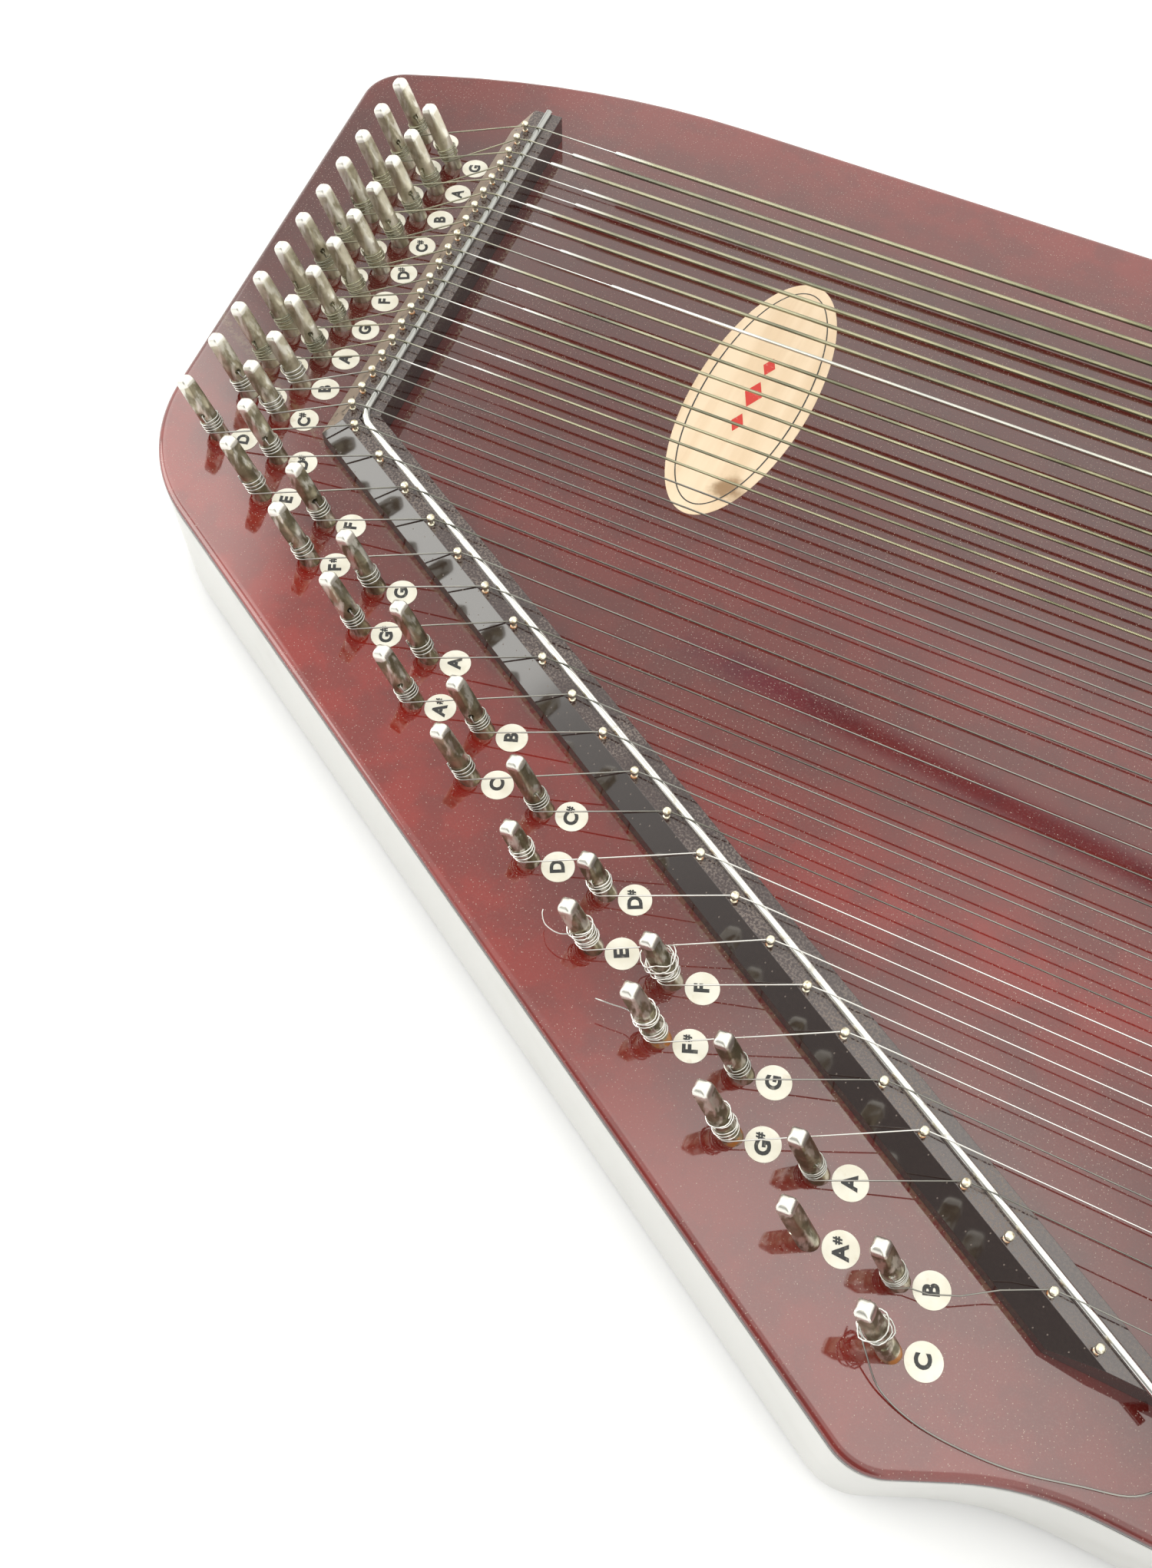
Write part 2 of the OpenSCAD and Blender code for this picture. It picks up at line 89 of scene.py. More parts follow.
# Strings are numbered from the bass; radii fall by their taper from the first to the last
PITCH = 6.4
STRINGS = 43
LAST_END_STRING = 20
LAST_WOUND = 17
SLACK_STRING = 42
LOOSE_STRING = 43
SILVER_STRING = 9
BRIGHT_STRINGS = (33, 34, 35, 36, 37, 39)
CORE_R = 0.225
WOUND_R = 0.65
WOUND_TAPER = 0.3
PLAIN_R = 0.25
PLAIN_TAPER = 0.1
LOOSE_R = 0.2
TAIL_R = 0.16
WIRE_GAP = 0.02

# Bridges, rods and the small pins beside them
END_SLANT = radians(4.5)
DIAGONAL_SLANT = radians(29.35)
HITCH_SLANT = radians(5.7)
HITCH_ROD_X = 446
BEND_Y = 0.5
ROD_D = 2
BRIDGE_H = 8.3
ROD_TOP = BRIDGE_H + ROD_D - 0.5
BRIDGE_PIN_R = 0.55
BRIDGE_PIN_OFF = 0.7
END_PIN_BACK = 4
DIAGONAL_PIN_BACK = 6.2
HITCH_PIN_R = 0.8
HITCH_PIN_ROWS = (36, 24)

# Tuning pins; on the diagonal part each row has its first foot and the step to the next
PIN_R = 2.5
PIN_H = 19
PIN_DEPTH = 26
PIN_TIP = 2.0
PIN_HEAD = 12.5
PIN_LEAN = radians(21.8)
PIN_HEIGHTS = {
    18: 17, 20: 17.5, 33: 14, 34: 14.5, 35: 17.5, 36: 18, 37: 21.5, 38: 16.5, 39: 22.5, 43: 24.5,
}
UNCUT = 9
LAST_END_PIN = 21
CORNER_FOOT = (-37.2, -16)
DIAGONAL_ROWS = (((-18.1, -16), (23, -13.12)), ((-15.3, -29), (23.05, -13.2)))
BARE_PIN = 41
RUSTY_PINS = (37, 39, 43)
WIRE_HOLE_H = 8.6
WIRE_HOLE_R = 0.65
WIRE_HOLE_DEPTH = 1.1
COIL_Z = 3.8
COIL_SPREAD = 3.6
COIL_STEPS = 18
COIL_GAP = 0.03

# Paper labels
NOTES = ("F#", "G", "G#", "A", "A#", "B", "C", "C#", "D", "D#", "E", "F")
LABEL_R = 4
LABEL_T = 0.15
LABEL_LEAD = (6.9, 1.2)
LABEL_TURN = 112
LETTER_SIZE = 4.6
OVAL_PLACE = (90, 62.5)
OVAL_STAIN = (97, 28)
INK_LOW = LABEL_T - 0.05
INK_HIGH = LABEL_T + 0.03

# Chord bars
BAR_COUNT = 12
BAR_X1 = 289
BAR_PITCH = 11
BAR_Z = 20.5
BAR_H = 10
SPRING_SEAT = 5
SPRING_YS = (140, -157)
SPRING_R = 2.4
BUTTON_ROWS = (20, -6)

# Turned profiles: radius and height
BRIDGE_PIN_FOOT = ((0, -3), (0.35, 0.02), (0.3, 0.2), (0, 0.35))
BRIDGE_PIN_HEAD = ((0.9, 0), (1.03, 0.2), (1.05, 1), (0.98, 1.25), (0.75, 1.45), (0.4, 1.56), (0.05, 1.6))
HITCH_PIN = (
    (HITCH_PIN_R, -8), (HITCH_PIN_R, 3.8), (1.3, 4.0), (1.6, 4.3),
    (1.55, 4.6), (1.2, 4.85), (0.6, 4.97), (0.05, 5),
)
BUTTON = (
    (3.0, 0), (3.0, 2.6), (3.2, 3.0), (4.2, 3.5), (4.6, 4.0), (4.7, 4.6), (4.7, 6.2),
    (4.62, 6.8), (4.3, 7.4), (3.7, 7.75), (2.6, 7.85), (1.4, 7.8), (0.03, 7.75),
)

# Flats of a tuning pin as they deepen: height in the head, radius, distance of the flats
PIN_FLATS = ((0.3, PIN_R, 2.46), (1.5, PIN_R, 2.2), (3.5, PIN_R, 2.06), (6, 2.48, 1.96))
# The worn top: height from where the dome starts, radius, distance of the flats, tone
PIN_WEAR = ((-1.6, 2.42, 1.94, 0.35), (-0.6, 2.42, 1.92, 0.9), (0, 2.36, 1.88, 1.4))

# Route of the loose treble wire, from its pin to its hitch pin
LOOSE_ROUTE = (
    (207, -157, 15), (207.2, -161.2, 11), (211, -165, 5.5), (216, -169, 1.5),
    (224, -171.5, 0.6), (234, -172, 0.4), (245, -171, 0.4), (257, -168, 0.4),
    (267, -165, 0.4), (273, -158.5, 0.4), (275.2, -151, 0.5), (278.5, -147.3, 0.6),
    (288, -146.5, 0.8), (345, -146.4, 0.6), (405, -146.3, 1.4), (418, -146, 5),
    (426, -146, 8.6), (432, -146, 10.2), (440, -146, 8), (450, -146, 4.4), (455, -146, 3),
)
# Sag of the slack string between its pin and its bridge pin
SLACK_ROUTE = ((213.9, -148.7, 4), (218, -148.2, 4.5), (223.6, -146.1, 6), (230.2, -141.9, 7.6))
# Loose ends that stick out of two coils
WIRE_TAILS = (
    ((119.5, -110.4, 8), (116, -111.6, 7.2), (112.3, -110.7, 6.4), (110.4, -108.6, 6), (110, -107.4, 6)),
    ((141.5, -124.2, 9), (138.6, -121.7, 8.4), (134, -121.9, 8.1), (130.4, -122.2, 8)),
)
# Untidy extra turns: pin, lowest turn, turns, spread, exit angle, wobble, wire radius
EXTRA_TURNS = (
    (36, 6.0, 3, 3.0, 1.0, 0.5, 0.17),
    (36, 9.0, 2.2, 2.5, 1.0, 0.75, 0.17),
    (35, 7.5, 2.3, 1.8, 0.5, 0.25, 0.19),
    (37, 9.5, 3, 3.0, 0.5, 0.22, 0.19),
    (39, 9.5, 2.1, 1.6, 0.5, 0.2, 0.19),
)

# ---------- colours and light ----------

# Lacquer across the strings, from the treble rim to the bass rim: share of the way, colour
BOARD_BANDS = (
    (0.056, (0.135, 0.011, 0.008)), (0.20, (0.104, 0.010, 0.007)), (0.28, (0.115, 0.010, 0.007)),
    (0.335, (0.190, 0.012, 0.008)), (0.40, (0.114, 0.010, 0.007)), (0.46, (0.103, 0.010, 0.007)),
    (0.52, (0.125, 0.012, 0.009)), (0.58, (0.082, 0.009, 0.007)), (0.70, (0.072, 0.009, 0.007)),
    (0.86, (0.070, 0.009, 0.007)), (0.986, (0.160, 0.011, 0.008)),
)
RIM_GLOW = (0.23, 0.011, 0.006)
DARK_MOTTLE = (0.042, 0.009, 0.009)
EDGE_BLACK = (0.010, 0.004, 0.004)
GRIME = (0.16, 0.10, 0.055)
STRIP_DUST = (0.17, 0.12, 0.085)
BOARD_DUST = (0.50, 0.40, 0.33)
BRIDGE_DUST = (0.21, 0.16, 0.13)
SLOPE_DUST = (0.30, 0.22, 0.16)
SMUDGE = (0.45, 0.44, 0.41)
RUBBED_NICKEL = (0.84, 0.82, 0.75)
BRIGHT_NICKEL = (0.80, 0.78, 0.72)
PIN_RUST = (0.42, 0.16, 0.035)
SMALL_RUST = (0.50, 0.19, 0.05)
FOXING = (0.45, 0.33, 0.18)
STAIN = (0.22, 0.11, 0.035)
PAPER_SHOWING = (0.55, 0.5, 0.42)

# Camera, solved from the photo: focal length and sensor in mm, place, and its own axes
FOCAL_LENGTH = 35.21
SENSOR_WIDTH = 36
CAMERA_PLACE = (182.02, -232.34, 325.71)
CAMERA_RIGHT = (0.89615, 0.44372, -0.00503)
CAMERA_AHEAD = (-0.21841, 0.43118, -0.87543)

# Studio dome: its even strength, and patches that add to it or take from it, each with
# its direction, the cosines where it starts and where it is full, and its strength
DOME_STRENGTH = 1.55
DOME_PATCHES = (
    ((0.05, 0.12, 0.99), 0.945, 0.998, 1.4),
    ((-0.62, 0.36, 0.70), 0.971, 0.985, 2.0),
    ((-0.28, 0.44, 0.85), 0.94, 0.99, -0.5),
    ((-0.93, -0.15, 0.35), 0.934, 0.943, 2.8),
    ((-0.25, -0.95, 0.2), 0.66, 0.90, -1.2),
    ((-0.55, 0.68, 0.50), 0.968, 0.990, -0.6),
)
# A thin dark seam between two screens, in the plane with this normal
SEAM_NORMAL = (0.0875, 0.8461, -0.5258)
FLOOR_REACH = 30

MM = 0.001
board_low, board_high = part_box("soundboard")
ORIGIN = Vector((board_high.x - HITCH_END * MM, board_high.y - BASS_EDGE * MM, board_high.z))


def at(x, y, z=0.0):
    """Place in the string frame, in mm, as a place in the row frame, in metres."""
    return ORIGIN + Vector((x, y, z)) * MM


def string_y(k):
    return (LAST_END_STRING + 0.5 - k) * PITCH


def rod_x(y):
    """Middle of the bent bridge rod at y."""
    if y > BEND_Y:
        return -(y - BEND_Y) * tan(END_SLANT)
    return -(y - BEND_Y) / tan(DIAGONAL_SLANT)


def bridge_pin_x(k):
    return rod_x(string_y(k)) - (END_PIN_BACK if k <= LAST_END_STRING else DIAGONAL_PIN_BACK)


def hitch_x(y):
    return HITCH_ROD_X + y * tan(HITCH_SLANT)


def hitch_pin_x(k):
    return hitch_x(string_y(k)) + HITCH_PIN_ROWS[k % 2]


def pin_foot(k):
    """Foot of tuning pin k, in two staggered rows along each part of the bridge."""
    y = string_y(k)
    if k == LAST_END_PIN:
        return Vector((*CORNER_FOOT, 0))
    if k > LAST_END_PIN:
        first, pitch = DIAGONAL_ROWS[k % 2]
        step = (k - 22 - k % 2) / 2
        return Vector((first[0] + pitch[0] * step, first[1] + pitch[1] * step, 0))
    if k % 2:
        return Vector((-38 - 0.065 * (y - 9), y - 9, 0))
    return Vector((-25.6 - 0.05 * y, 0.97 * y - 5.6, 0))


PIN_AXIS = Vector((-sin(PIN_LEAN), 0, cos(PIN_LEAN)))
PIN_SIDE = Vector((cos(PIN_LEAN), 0, sin(PIN_LEAN)))
PIN_ACROSS = Vector((0, 1, 0))


def core_r(k):
    """Radius of the steel wire of string k."""
    if k <= LAST_WOUND:
        return CORE_R
    return PLAIN_R - PLAIN_TAPER * (k - LAST_WOUND - 1) / (STRINGS - LAST_WOUND - 1)


def wound_r(k):
    """Radius of bass string k over its winding."""
    return WOUND_R - WOUND_TAPER * (k - 1) / (LAST_WOUND - 1)


def ring_angles(count):
    return [2 * pi * j / count for j in range(count)]


def linked(name, data):
    """New object in the scene."""
    obj = bpy.data.objects.new(name, data)
    bpy.context.scene.collection.objects.link(obj)
    return obj


# ---------- mesh building ----------

class Build:
    """Collects rings, tubes and turned shapes, in mm in the string frame, into one piece."""

    def __init__(self):
        self.verts = []
        self.faces = []
        self.tones = []

    def loft(self, rings, tones, close_ends=True):
        """Skin over rings of equal length, each with one tone, capped at both ends."""
        count = len(rings[0])
        start = len(self.verts)
        for ring, tone in zip(rings, tones):
            self.verts += [at(*p) for p in ring]
            self.tones += [tone] * count
        for i in range(len(rings) - 1):
            a = start + i * count
            b = a + count
            for j in range(count):
                k = (j + 1) % count
                self.faces.append((a + j, a + k, b + k, b + j))
        if close_ends:
            self.faces.append(tuple(start + j for j in reversed(range(count))))
            last = start + (len(rings) - 1) * count
            self.faces.append(tuple(last + j for j in range(count)))

    def tube(self, points, radii, sides=8, tones=0.0):
        """Round tube through points; a frame is carried along so that it never twists."""
        points = [Vector(p) for p in points]
        if not hasattr(radii, "__len__"):
            radii = [radii] * len(points)
        if not hasattr(tones, "__len__"):
            tones = [tones] * len(points)
        rings = []
        side = None
        for i, p in enumerate(points):
            ahead = points[min(i + 1, len(points) - 1)] - points[max(i - 1, 0)]
            ahead.normalize()
            if side is None:
                side = ahead.orthogonal().normalized()
            side = (side - ahead * side.dot(ahead)).normalized()
            up = ahead.cross(side)
            rings.append([p + (side * cos(a) + up * sin(a)) * radii[i] for a in ring_angles(sides)])
        self.loft(rings, tones)

    def turned(self, base, profile, sides, tones=None):
        """Upright turned shape: profile is (radius, height), from below to above."""
        axis = Vector((0, 0, 1))
        side = axis.orthogonal().normalized()
        up = axis.cross(side)
        base = Vector(base)
        rings = [
            [base + axis * h + (side * cos(a) + up * sin(a)) * r for a in ring_angles(sides)]
            for r, h in profile
        ]
        self.loft(rings, tones or [0.0] * len(rings))

    def piece(self, name, material, slot, body="box", replaces=(), sharp_deg=40):
        """Turn what was collected into one object of the scene."""
        mesh = bpy.data.meshes.new(name)
        mesh.from_pydata(self.verts, [], self.faces)
        tone = mesh.attributes.new("tone", "FLOAT", "POINT")
        tone.data.foreach_set("value", self.tones)
        return finish_piece(name, mesh, material, body, replaces, sharp_deg)


def finish_piece(name, mesh, material, body="box", replaces=(), sharp_deg=40):
    """Object with its material, shading and body."""
    mesh.validate()
    mesh.update()
    mesh.materials.append(material)
    mesh.shade_smooth()
    mesh.set_sharp_from_angle(angle=radians(sharp_deg))
    obj = linked(name, mesh)
    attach(obj, body)
    if replaces:
        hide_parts(*replaces)
    return obj


def softened(node, width, material, body="box", segments=3, lump=0.0):
    """Copy of a CAD node with its sharp edges rounded, as sanding or moulding leaves them."""
    mesh = bpy.data.meshes.new(node + "_soft")
    cad = bmesh.new()
    cad.from_mesh(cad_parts[node].data)
    bmesh.ops.remove_doubles(cad, verts=cad.verts, dist=2e-6)
    bmesh.ops.dissolve_limit(cad, angle_limit=radians(1), verts=cad.verts, edges=cad.edges)
    cad.to_mesh(mesh)
    cad.free()
    rough = linked(node + "_rough", mesh)
    bevel = rough.modifiers.new("rounded", "BEVEL")
    bevel.width = width * MM
    bevel.segments = segments
    bevel.limit_method = "ANGLE"
    bevel.angle_limit = radians(35)
    graph = bpy.context.evaluated_depsgraph_get()
    shape = bpy.data.meshes.new_from_object(rough.evaluated_get(graph))
    bpy.data.objects.remove(rough)
    shape.materials.clear()
    if lump:
        for v in shape.vertices:
            v.co += Vector((rng.uniform(-1, 1), rng.uniform(-1, 1), 0)) * lump * MM
    obj = finish_piece(node + "_soft", shape, material, body, (node,), 50)
    keep_flat(shape)
    return obj


def keep_flat(mesh):
    """Stop the rounding from shading across broad flat faces, by sharp borders round them."""
    bend_limit = 0.02
    broad = 4
    shape = bmesh.new()
    shape.from_mesh(mesh)
    for edge in shape.edges:
        if len(edge.link_faces) == 2 and edge.calc_face_angle() > bend_limit:
            small, large = sorted(face.calc_area() for face in edge.link_faces)
            if large > broad * small:
                edge.smooth = False
    shape.to_mesh(mesh)
    shape.free()


def rounded_outline(corners, step_deg=3):
    """Outline points, anticlockwise or clockwise as given, with an arc at each corner."""
    points = []
    count = len(corners)
    for i, (x, y, r) in enumerate(corners):
        b = Vector((x, y))
        to_a = (Vector(corners[i - 1][:2]) - b).normalized()
        to_c = (Vector(corners[(i + 1) % count][:2]) - b).normalized()
        half = acos(to_a.dot(to_c)) / 2
        middle = b + (to_a + to_c).normalized() * r / sin(half)
        start = b + to_a * r / tan(half) - middle
        end = b + to_c * r / tan(half) - middle
        a0 = atan2(start.y, start.x)
        sweep = (atan2(end.y, end.x) - a0 + 3 * pi) % (2 * pi) - pi
        steps = max(4, ceil(abs(degrees(sweep)) / step_deg))
        for s in range(steps + 1):
            a = a0 + sweep * s / steps
            points.append(middle + Vector((cos(a), sin(a))) * r)
    return points


def inset(points, d):
    """The outline moved inwards by d, along the average normal at each point."""
    count = len(points)
    area = sum(points[i].cross(points[(i + 1) % count]) for i in range(count))
    sign = 1 if area > 0 else -1
    moved = []
    for i, p in enumerate(points):
        before = (p - points[i - 1]).normalized()
        after = (points[(i + 1) % count] - p).normalized()
        along = (before + after).normalized()
        moved.append(p + Vector((-along.y, along.x)) * d * sign)
    return moved


def plate(outline, z_low, z_high, round_low, round_high, holes=()):
    """Flat plate with rounded rims and straight-walled holes, as a Build."""
    layers = []
    flat_rim = 0.6
    steps = 6
    arc = [pi / 2 * s / steps for s in range(steps + 1)]
    if round_low:
        layers.append((round_low + flat_rim, z_low))
        layers += [(round_low * (1 - sin(a)), z_low + round_low * (1 - cos(a))) for a in arc]
    else:
        layers.append((0, z_low))
    if round_high:
        layers += [(round_high * (1 - cos(a)), z_high - round_high * (1 - sin(a))) for a in arc]
        layers.append((round_high + flat_rim, z_high))
    else:
        layers.append((0, z_high))
    build = Build()
    rings = [[(p.x, p.y, z) for p in inset(outline, d)] for d, z in layers]
    build.loft(rings, [0.0] * len(rings), close_ends=False)
    walls = []
    for hole in holes:
        start = len(build.verts)
        build.loft([[(p.x, p.y, z_high) for p in hole], [(p.x, p.y, z_low) for p in hole]],
                   [0.0, 0.0], close_ends=False)
        walls.append((start, len(hole)))
    count = len(outline)
    for level, first in ((z_high, (len(layers) - 1) * count), (z_low, 0)):
        loops = [[Vector((*rings[first // count][j][:2], 0)) for j in range(count)]]
        indices = list(range(first, first + count))
        for hole, (start, size) in zip(holes, walls):
            loops.append([Vector((p.x, p.y, 0)) for p in hole])
            offset = start if level == z_high else start + size
            indices += list(range(offset, offset + size))
        for triangle in tessellate_polygon(loops):
            corners = [indices[t] for t in triangle]
            a, b, c = (build.verts[v] for v in corners)
            upward = (b - a).cross(c - a).z > 0
            if upward != (level == z_high):
                corners.reverse()
            build.faces.append(tuple(corners))
    return build


def circle(x, y, r, count=96):
    return [Vector((x + r * cos(a), y + r * sin(a))) for a in ring_angles(count)]


# ---------- materials ----------

class Nodes:
    """Shorthand for adding shader nodes to one node tree."""

    def __init__(self, tree):
        self.tree = tree

    def put(self, value, socket):
        """Link a socket, or set a number or colour, whichever value is."""
        if isinstance(value, bpy.types.NodeSocket):
            self.tree.links.new(value, socket)
        elif hasattr(socket.default_value, "__len__") and not hasattr(value, "__len__"):
            socket.default_value = [value] * len(socket.default_value)
        elif hasattr(value, "__len__") and len(value) == 3 and len(socket.default_value) == 4:
            socket.default_value = (*value, 1)
        else:
            socket.default_value = value

    def node(self, kind, sockets, output=0, **settings):
        """Add a node, fill its input sockets, and give one of its outputs."""
        made = self.tree.nodes.new("ShaderNode" + kind)
        for key, value in settings.items():
            setattr(made, key, value)
        for key, value in sockets.items():
            self.put(value, made.inputs[key])
        return made.outputs[output]

    def math(self, operation, *values, clamp=False):
        return self.node("Math", dict(enumerate(values)), operation=operation, use_clamp=clamp)

    def times(self, a, b):
        return self.math("MULTIPLY", a, b)

    def step(self, value, low, high, to_low=0.0, to_high=1.0):
        """Smooth change from to_low to to_high as value goes from low to high."""
        span = {"Value": value, "From Min": low, "From Max": high, "To Min": to_low, "To Max": to_high}
        return self.node("MapRange", span, interpolation_type="SMOOTHSTEP")

    def mix(self, factor, a, b):
        return self.node("Mix", {"Factor": factor, 6: a, 7: b}, 2, data_type="RGBA")


class Paint(Nodes):
    """A material under construction."""

    def __init__(self, name, colour, rough, metal=0.0, coat=0.0, coat_rough=0.03, specular=0.5):
        self.material = bpy.data.materials.new(name)
        self.material.use_nodes = True
        self.material.diffuse_color = (*colour, 1)
        super().__init__(self.material.node_tree)
        self.shader = self.tree.nodes["Principled BSDF"]
        self.set(base_color=colour, roughness=rough, metallic=metal)
        self.set(coat_weight=coat, coat_roughness=coat_rough)
        self.put(specular, self.shader.inputs["Specular IOR Level"])

    def set(self, **inputs):
        """Inputs of the Principled shader, as base_color=..."""
        for key, value in inputs.items():
            self.put(value, self.shader.inputs[key.replace("_", " ").title()])

    def base(self):
        """The socket that the base colour comes from."""
        return self.shader.inputs["Base Color"].links[0].from_socket

    def place(self, stretch=(1, 1, 1)):
        """The row frame's own coordinates, in metres, stretched."""
        where = self.node("TexCoord", {}, "Object")
        if stretch == (1, 1, 1):
            return where
        return self.node("Mapping", {"Vector": where, "Scale": stretch})

    def axis(self, name):
        """One coordinate of the row frame, in metres."""
        return self.node("SeparateXYZ", {0: self.place()}, name)

    def normal(self, name):
        """One coordinate of the direction that the surface faces."""
        return self.node("SeparateXYZ", {0: self.node("NewGeometry", {}, "Normal")}, name)

    def along_y(self, start, end, to_start=0.0, to_end=1.0):
        """Smooth change between two places across the strings, in mm."""
        return self.step(self.axis("Y"), at(0, start).y, at(0, end).y, to_start, to_end)

    def noise(self, scale, detail=3.0, stretch=(1, 1, 1), roughness=0.5):
        place = self.place(stretch)
        return self.node("TexNoise", {"Vector": place, "Scale": scale, "Detail": detail, "Roughness": roughness})

    def patches(self, scale, detail, low, high, to_low=0.0, to_high=1.0):
        """Noise with its contrast raised."""
        return self.step(self.noise(scale, detail), low, high, to_low, to_high)

    def specks(self, scale, size, share):
        """Small scattered specks: 1 on a speck, in a share of flat cells, one to a cell."""
        cell = {"Vector": self.place(), "Scale": scale}
        distance = self.node("TexVoronoi", cell, "Distance", voronoi_dimensions="2D")
        number = self.node("SeparateColor", {0: distance.node.outputs["Color"]})
        near = self.step(distance, size * 0.6, size, 1.0, 0.0)
        return self.times(near, self.math("LESS_THAN", number, share))

    def ramp(self, factor, stops):
        colour = self.node("ValToRGB", {"Fac": factor}, "Color")
        elements = colour.node.color_ramp.elements
        while len(elements) < len(stops):
            elements.new(0.5)
        for element, (place, shade) in zip(elements, stops):
            element.position = place
            element.color = (*shade, 1)
        return colour

    def tone(self):
        """The number that Build gave each ring."""
        return self.node("Attribute", {}, "Fac", attribute_name="tone")

    def bump(self, height, depth_mm, strength):
        relief = {"Strength": strength, "Distance": depth_mm * MM, "Height": height}
        self.set(normal=self.node("Bump", relief))


def line_distance(paint, p, q):
    """Distance, in metres, from the upright plane through p and q."""
    a, b = at(*p), at(*q)
    along = (b - a).normalized()
    x = paint.times(paint.math("SUBTRACT", paint.axis("X"), a.x), -along.y)
    y = paint.times(paint.math("SUBTRACT", paint.axis("Y"), a.y), along.x)
    return paint.math("ADD", x, y)


def board_colour(paint):
    """Lacquer without its dirt: bands across the strings, mottled, and redder by the pin rim."""
    across = paint.math("SUBTRACT", paint.axis("Y"), at(0, 0).y)
    cloud = paint.times(paint.math("SUBTRACT", paint.noise(14, 3), 0.5), 0.035)
    from_rim = paint.math("ADD", paint.math("ADD", across, cloud), 0.19)
    colour = paint.ramp(paint.times(from_rim, 1 / 0.36), BOARD_BANDS)
    rim = line_distance(paint, OUTLINE[2][:2], OUTLINE[3][:2])
    rim_glow = paint.step(rim, 0.0, 0.042, 0.85, 0.0)
    left_part = paint.step(paint.axis("X"), at(80, 0).x, at(190, 0).x, 1.0, 0.2)
    colour = paint.mix(paint.times(rim_glow, left_part), colour, RIM_GLOW)
    mottle = paint.step(paint.noise(70, 5, roughness=0.6), 0.42, 0.62)
    return paint.mix(paint.times(mottle, 0.3), colour, DARK_MOTTLE)


def board_dust(paint):
    """Fine specks and a thin film, thinner where the board was wiped, and a few coarse specks."""
    film = paint.patches(2600, 3, 0.50, 0.72, 0.0, 0.10)
    fine = paint.math("MAXIMUM", paint.specks(800, 0.10, 0.55), film)
    wiped = paint.patches(25, 3, 0.35, 0.6, 0.35, 1.0)
    return paint.math("MAXIMUM", paint.times(fine, wiped), paint.specks(260, 0.04, 0.35))


def red_lacquer():
    """Wine-red gloss over the soundboard: darker under the strings, redder by the rims, dusty."""
    paint = Paint("red_lacquer", (0.08, 0.010, 0.010), 0.07, specular=1.0)
    under_edge = paint.step(paint.normal("Z"), 0.25, 0.50, 0.9, 0.0)
    colour = paint.mix(under_edge, board_colour(paint), EDGE_BLACK)
    grime = paint.times(toe_mask(paint), paint.patches(900, 5, 0.40, 0.60))
    colour = paint.mix(paint.times(grime, 0.5), colour, GRIME)
    strip = paint.times(strip_mask(paint), paint.patches(1200, 5, 0.42, 0.62))
    colour = paint.mix(paint.times(strip, 0.7), colour, STRIP_DUST)
    dust = board_dust(paint)
    colour = paint.mix(paint.times(dust, 0.55), colour, BOARD_DUST)
    paint.set(base_color=colour, roughness=paint.math("ADD", paint.times(dust, 0.4), 0.05))
    paint.bump(paint.noise(45, 2), 0.02, 0.2)
    return paint.material


def rim_black():
    """Black edge of the soundboard under the red rim."""
    paint = Paint("rim_black", (0.012, 0.011, 0.010), 0.6, specular=0.2)
    paint.set(base_color=paint.mix(paint.noise(90, 4), (0.008, 0.007, 0.007), (0.03, 0.022, 0.018)))
    return paint.material


def toe_mask(paint):
    """1 along the foot of the diagonal bridge on its tuning-pin side, fading over 2 mm."""
    length = 300
    off = -10.8
    dx, dy = cos(DIAGONAL_SLANT), -sin(DIAGONAL_SLANT)
    p = (-dy * off, BEND_Y + dx * off)
    q = (p[0] + dx * length, p[1] + dy * length)
    away = paint.math("ABSOLUTE", line_distance(paint, p, q))
    return paint.times(paint.step(away, 0.0004, 0.0022, 1.0, 0.0), paint.along_y(-147, -145))


def strip_mask(paint):
    """1 on a thin strip of dust on the string side of the end bridge."""
    off = 7.6
    far_y = 160
    line = line_distance(paint, (rod_x(BEND_Y) + off, BEND_Y), (rod_x(far_y) + off, far_y))
    beside = paint.times(paint.along_y(4, 14), paint.along_y(122, 130, 1.0, 0.0))
    return paint.times(paint.step(paint.math("ABSOLUTE", line), 0.0004, 0.0012, 1.0, 0.0), beside)


def grey_lacquer():
    """Pale smooth paint of the sides and back, with faint smudges."""
    paint = Paint("grey_lacquer", (0.57, 0.565, 0.55), 0.38)
    smudge = paint.patches(30, 3, 0.45, 0.8)
    colour = paint.mix(paint.noise(9, 2), (0.54, 0.535, 0.52), (0.60, 0.595, 0.58))
    colour = paint.mix(paint.times(smudge, 0.18), colour, SMUDGE)
    paint.set(base_color=colour, roughness=paint.step(smudge, 0, 1, 0.34, 0.46))
    return paint.material


def bare_wood(name, light, dark):
    """Unpainted wood, its grain along the strings."""
    paint = Paint(name, light, 0.6)
    grain = paint.noise(120, 4, (0.06, 1, 1))
    paint.set(base_color=paint.mix(paint.step(grain, 0.35, 0.7), light, dark))
    paint.bump(grain, 0.05, 0.4)
    return paint.material


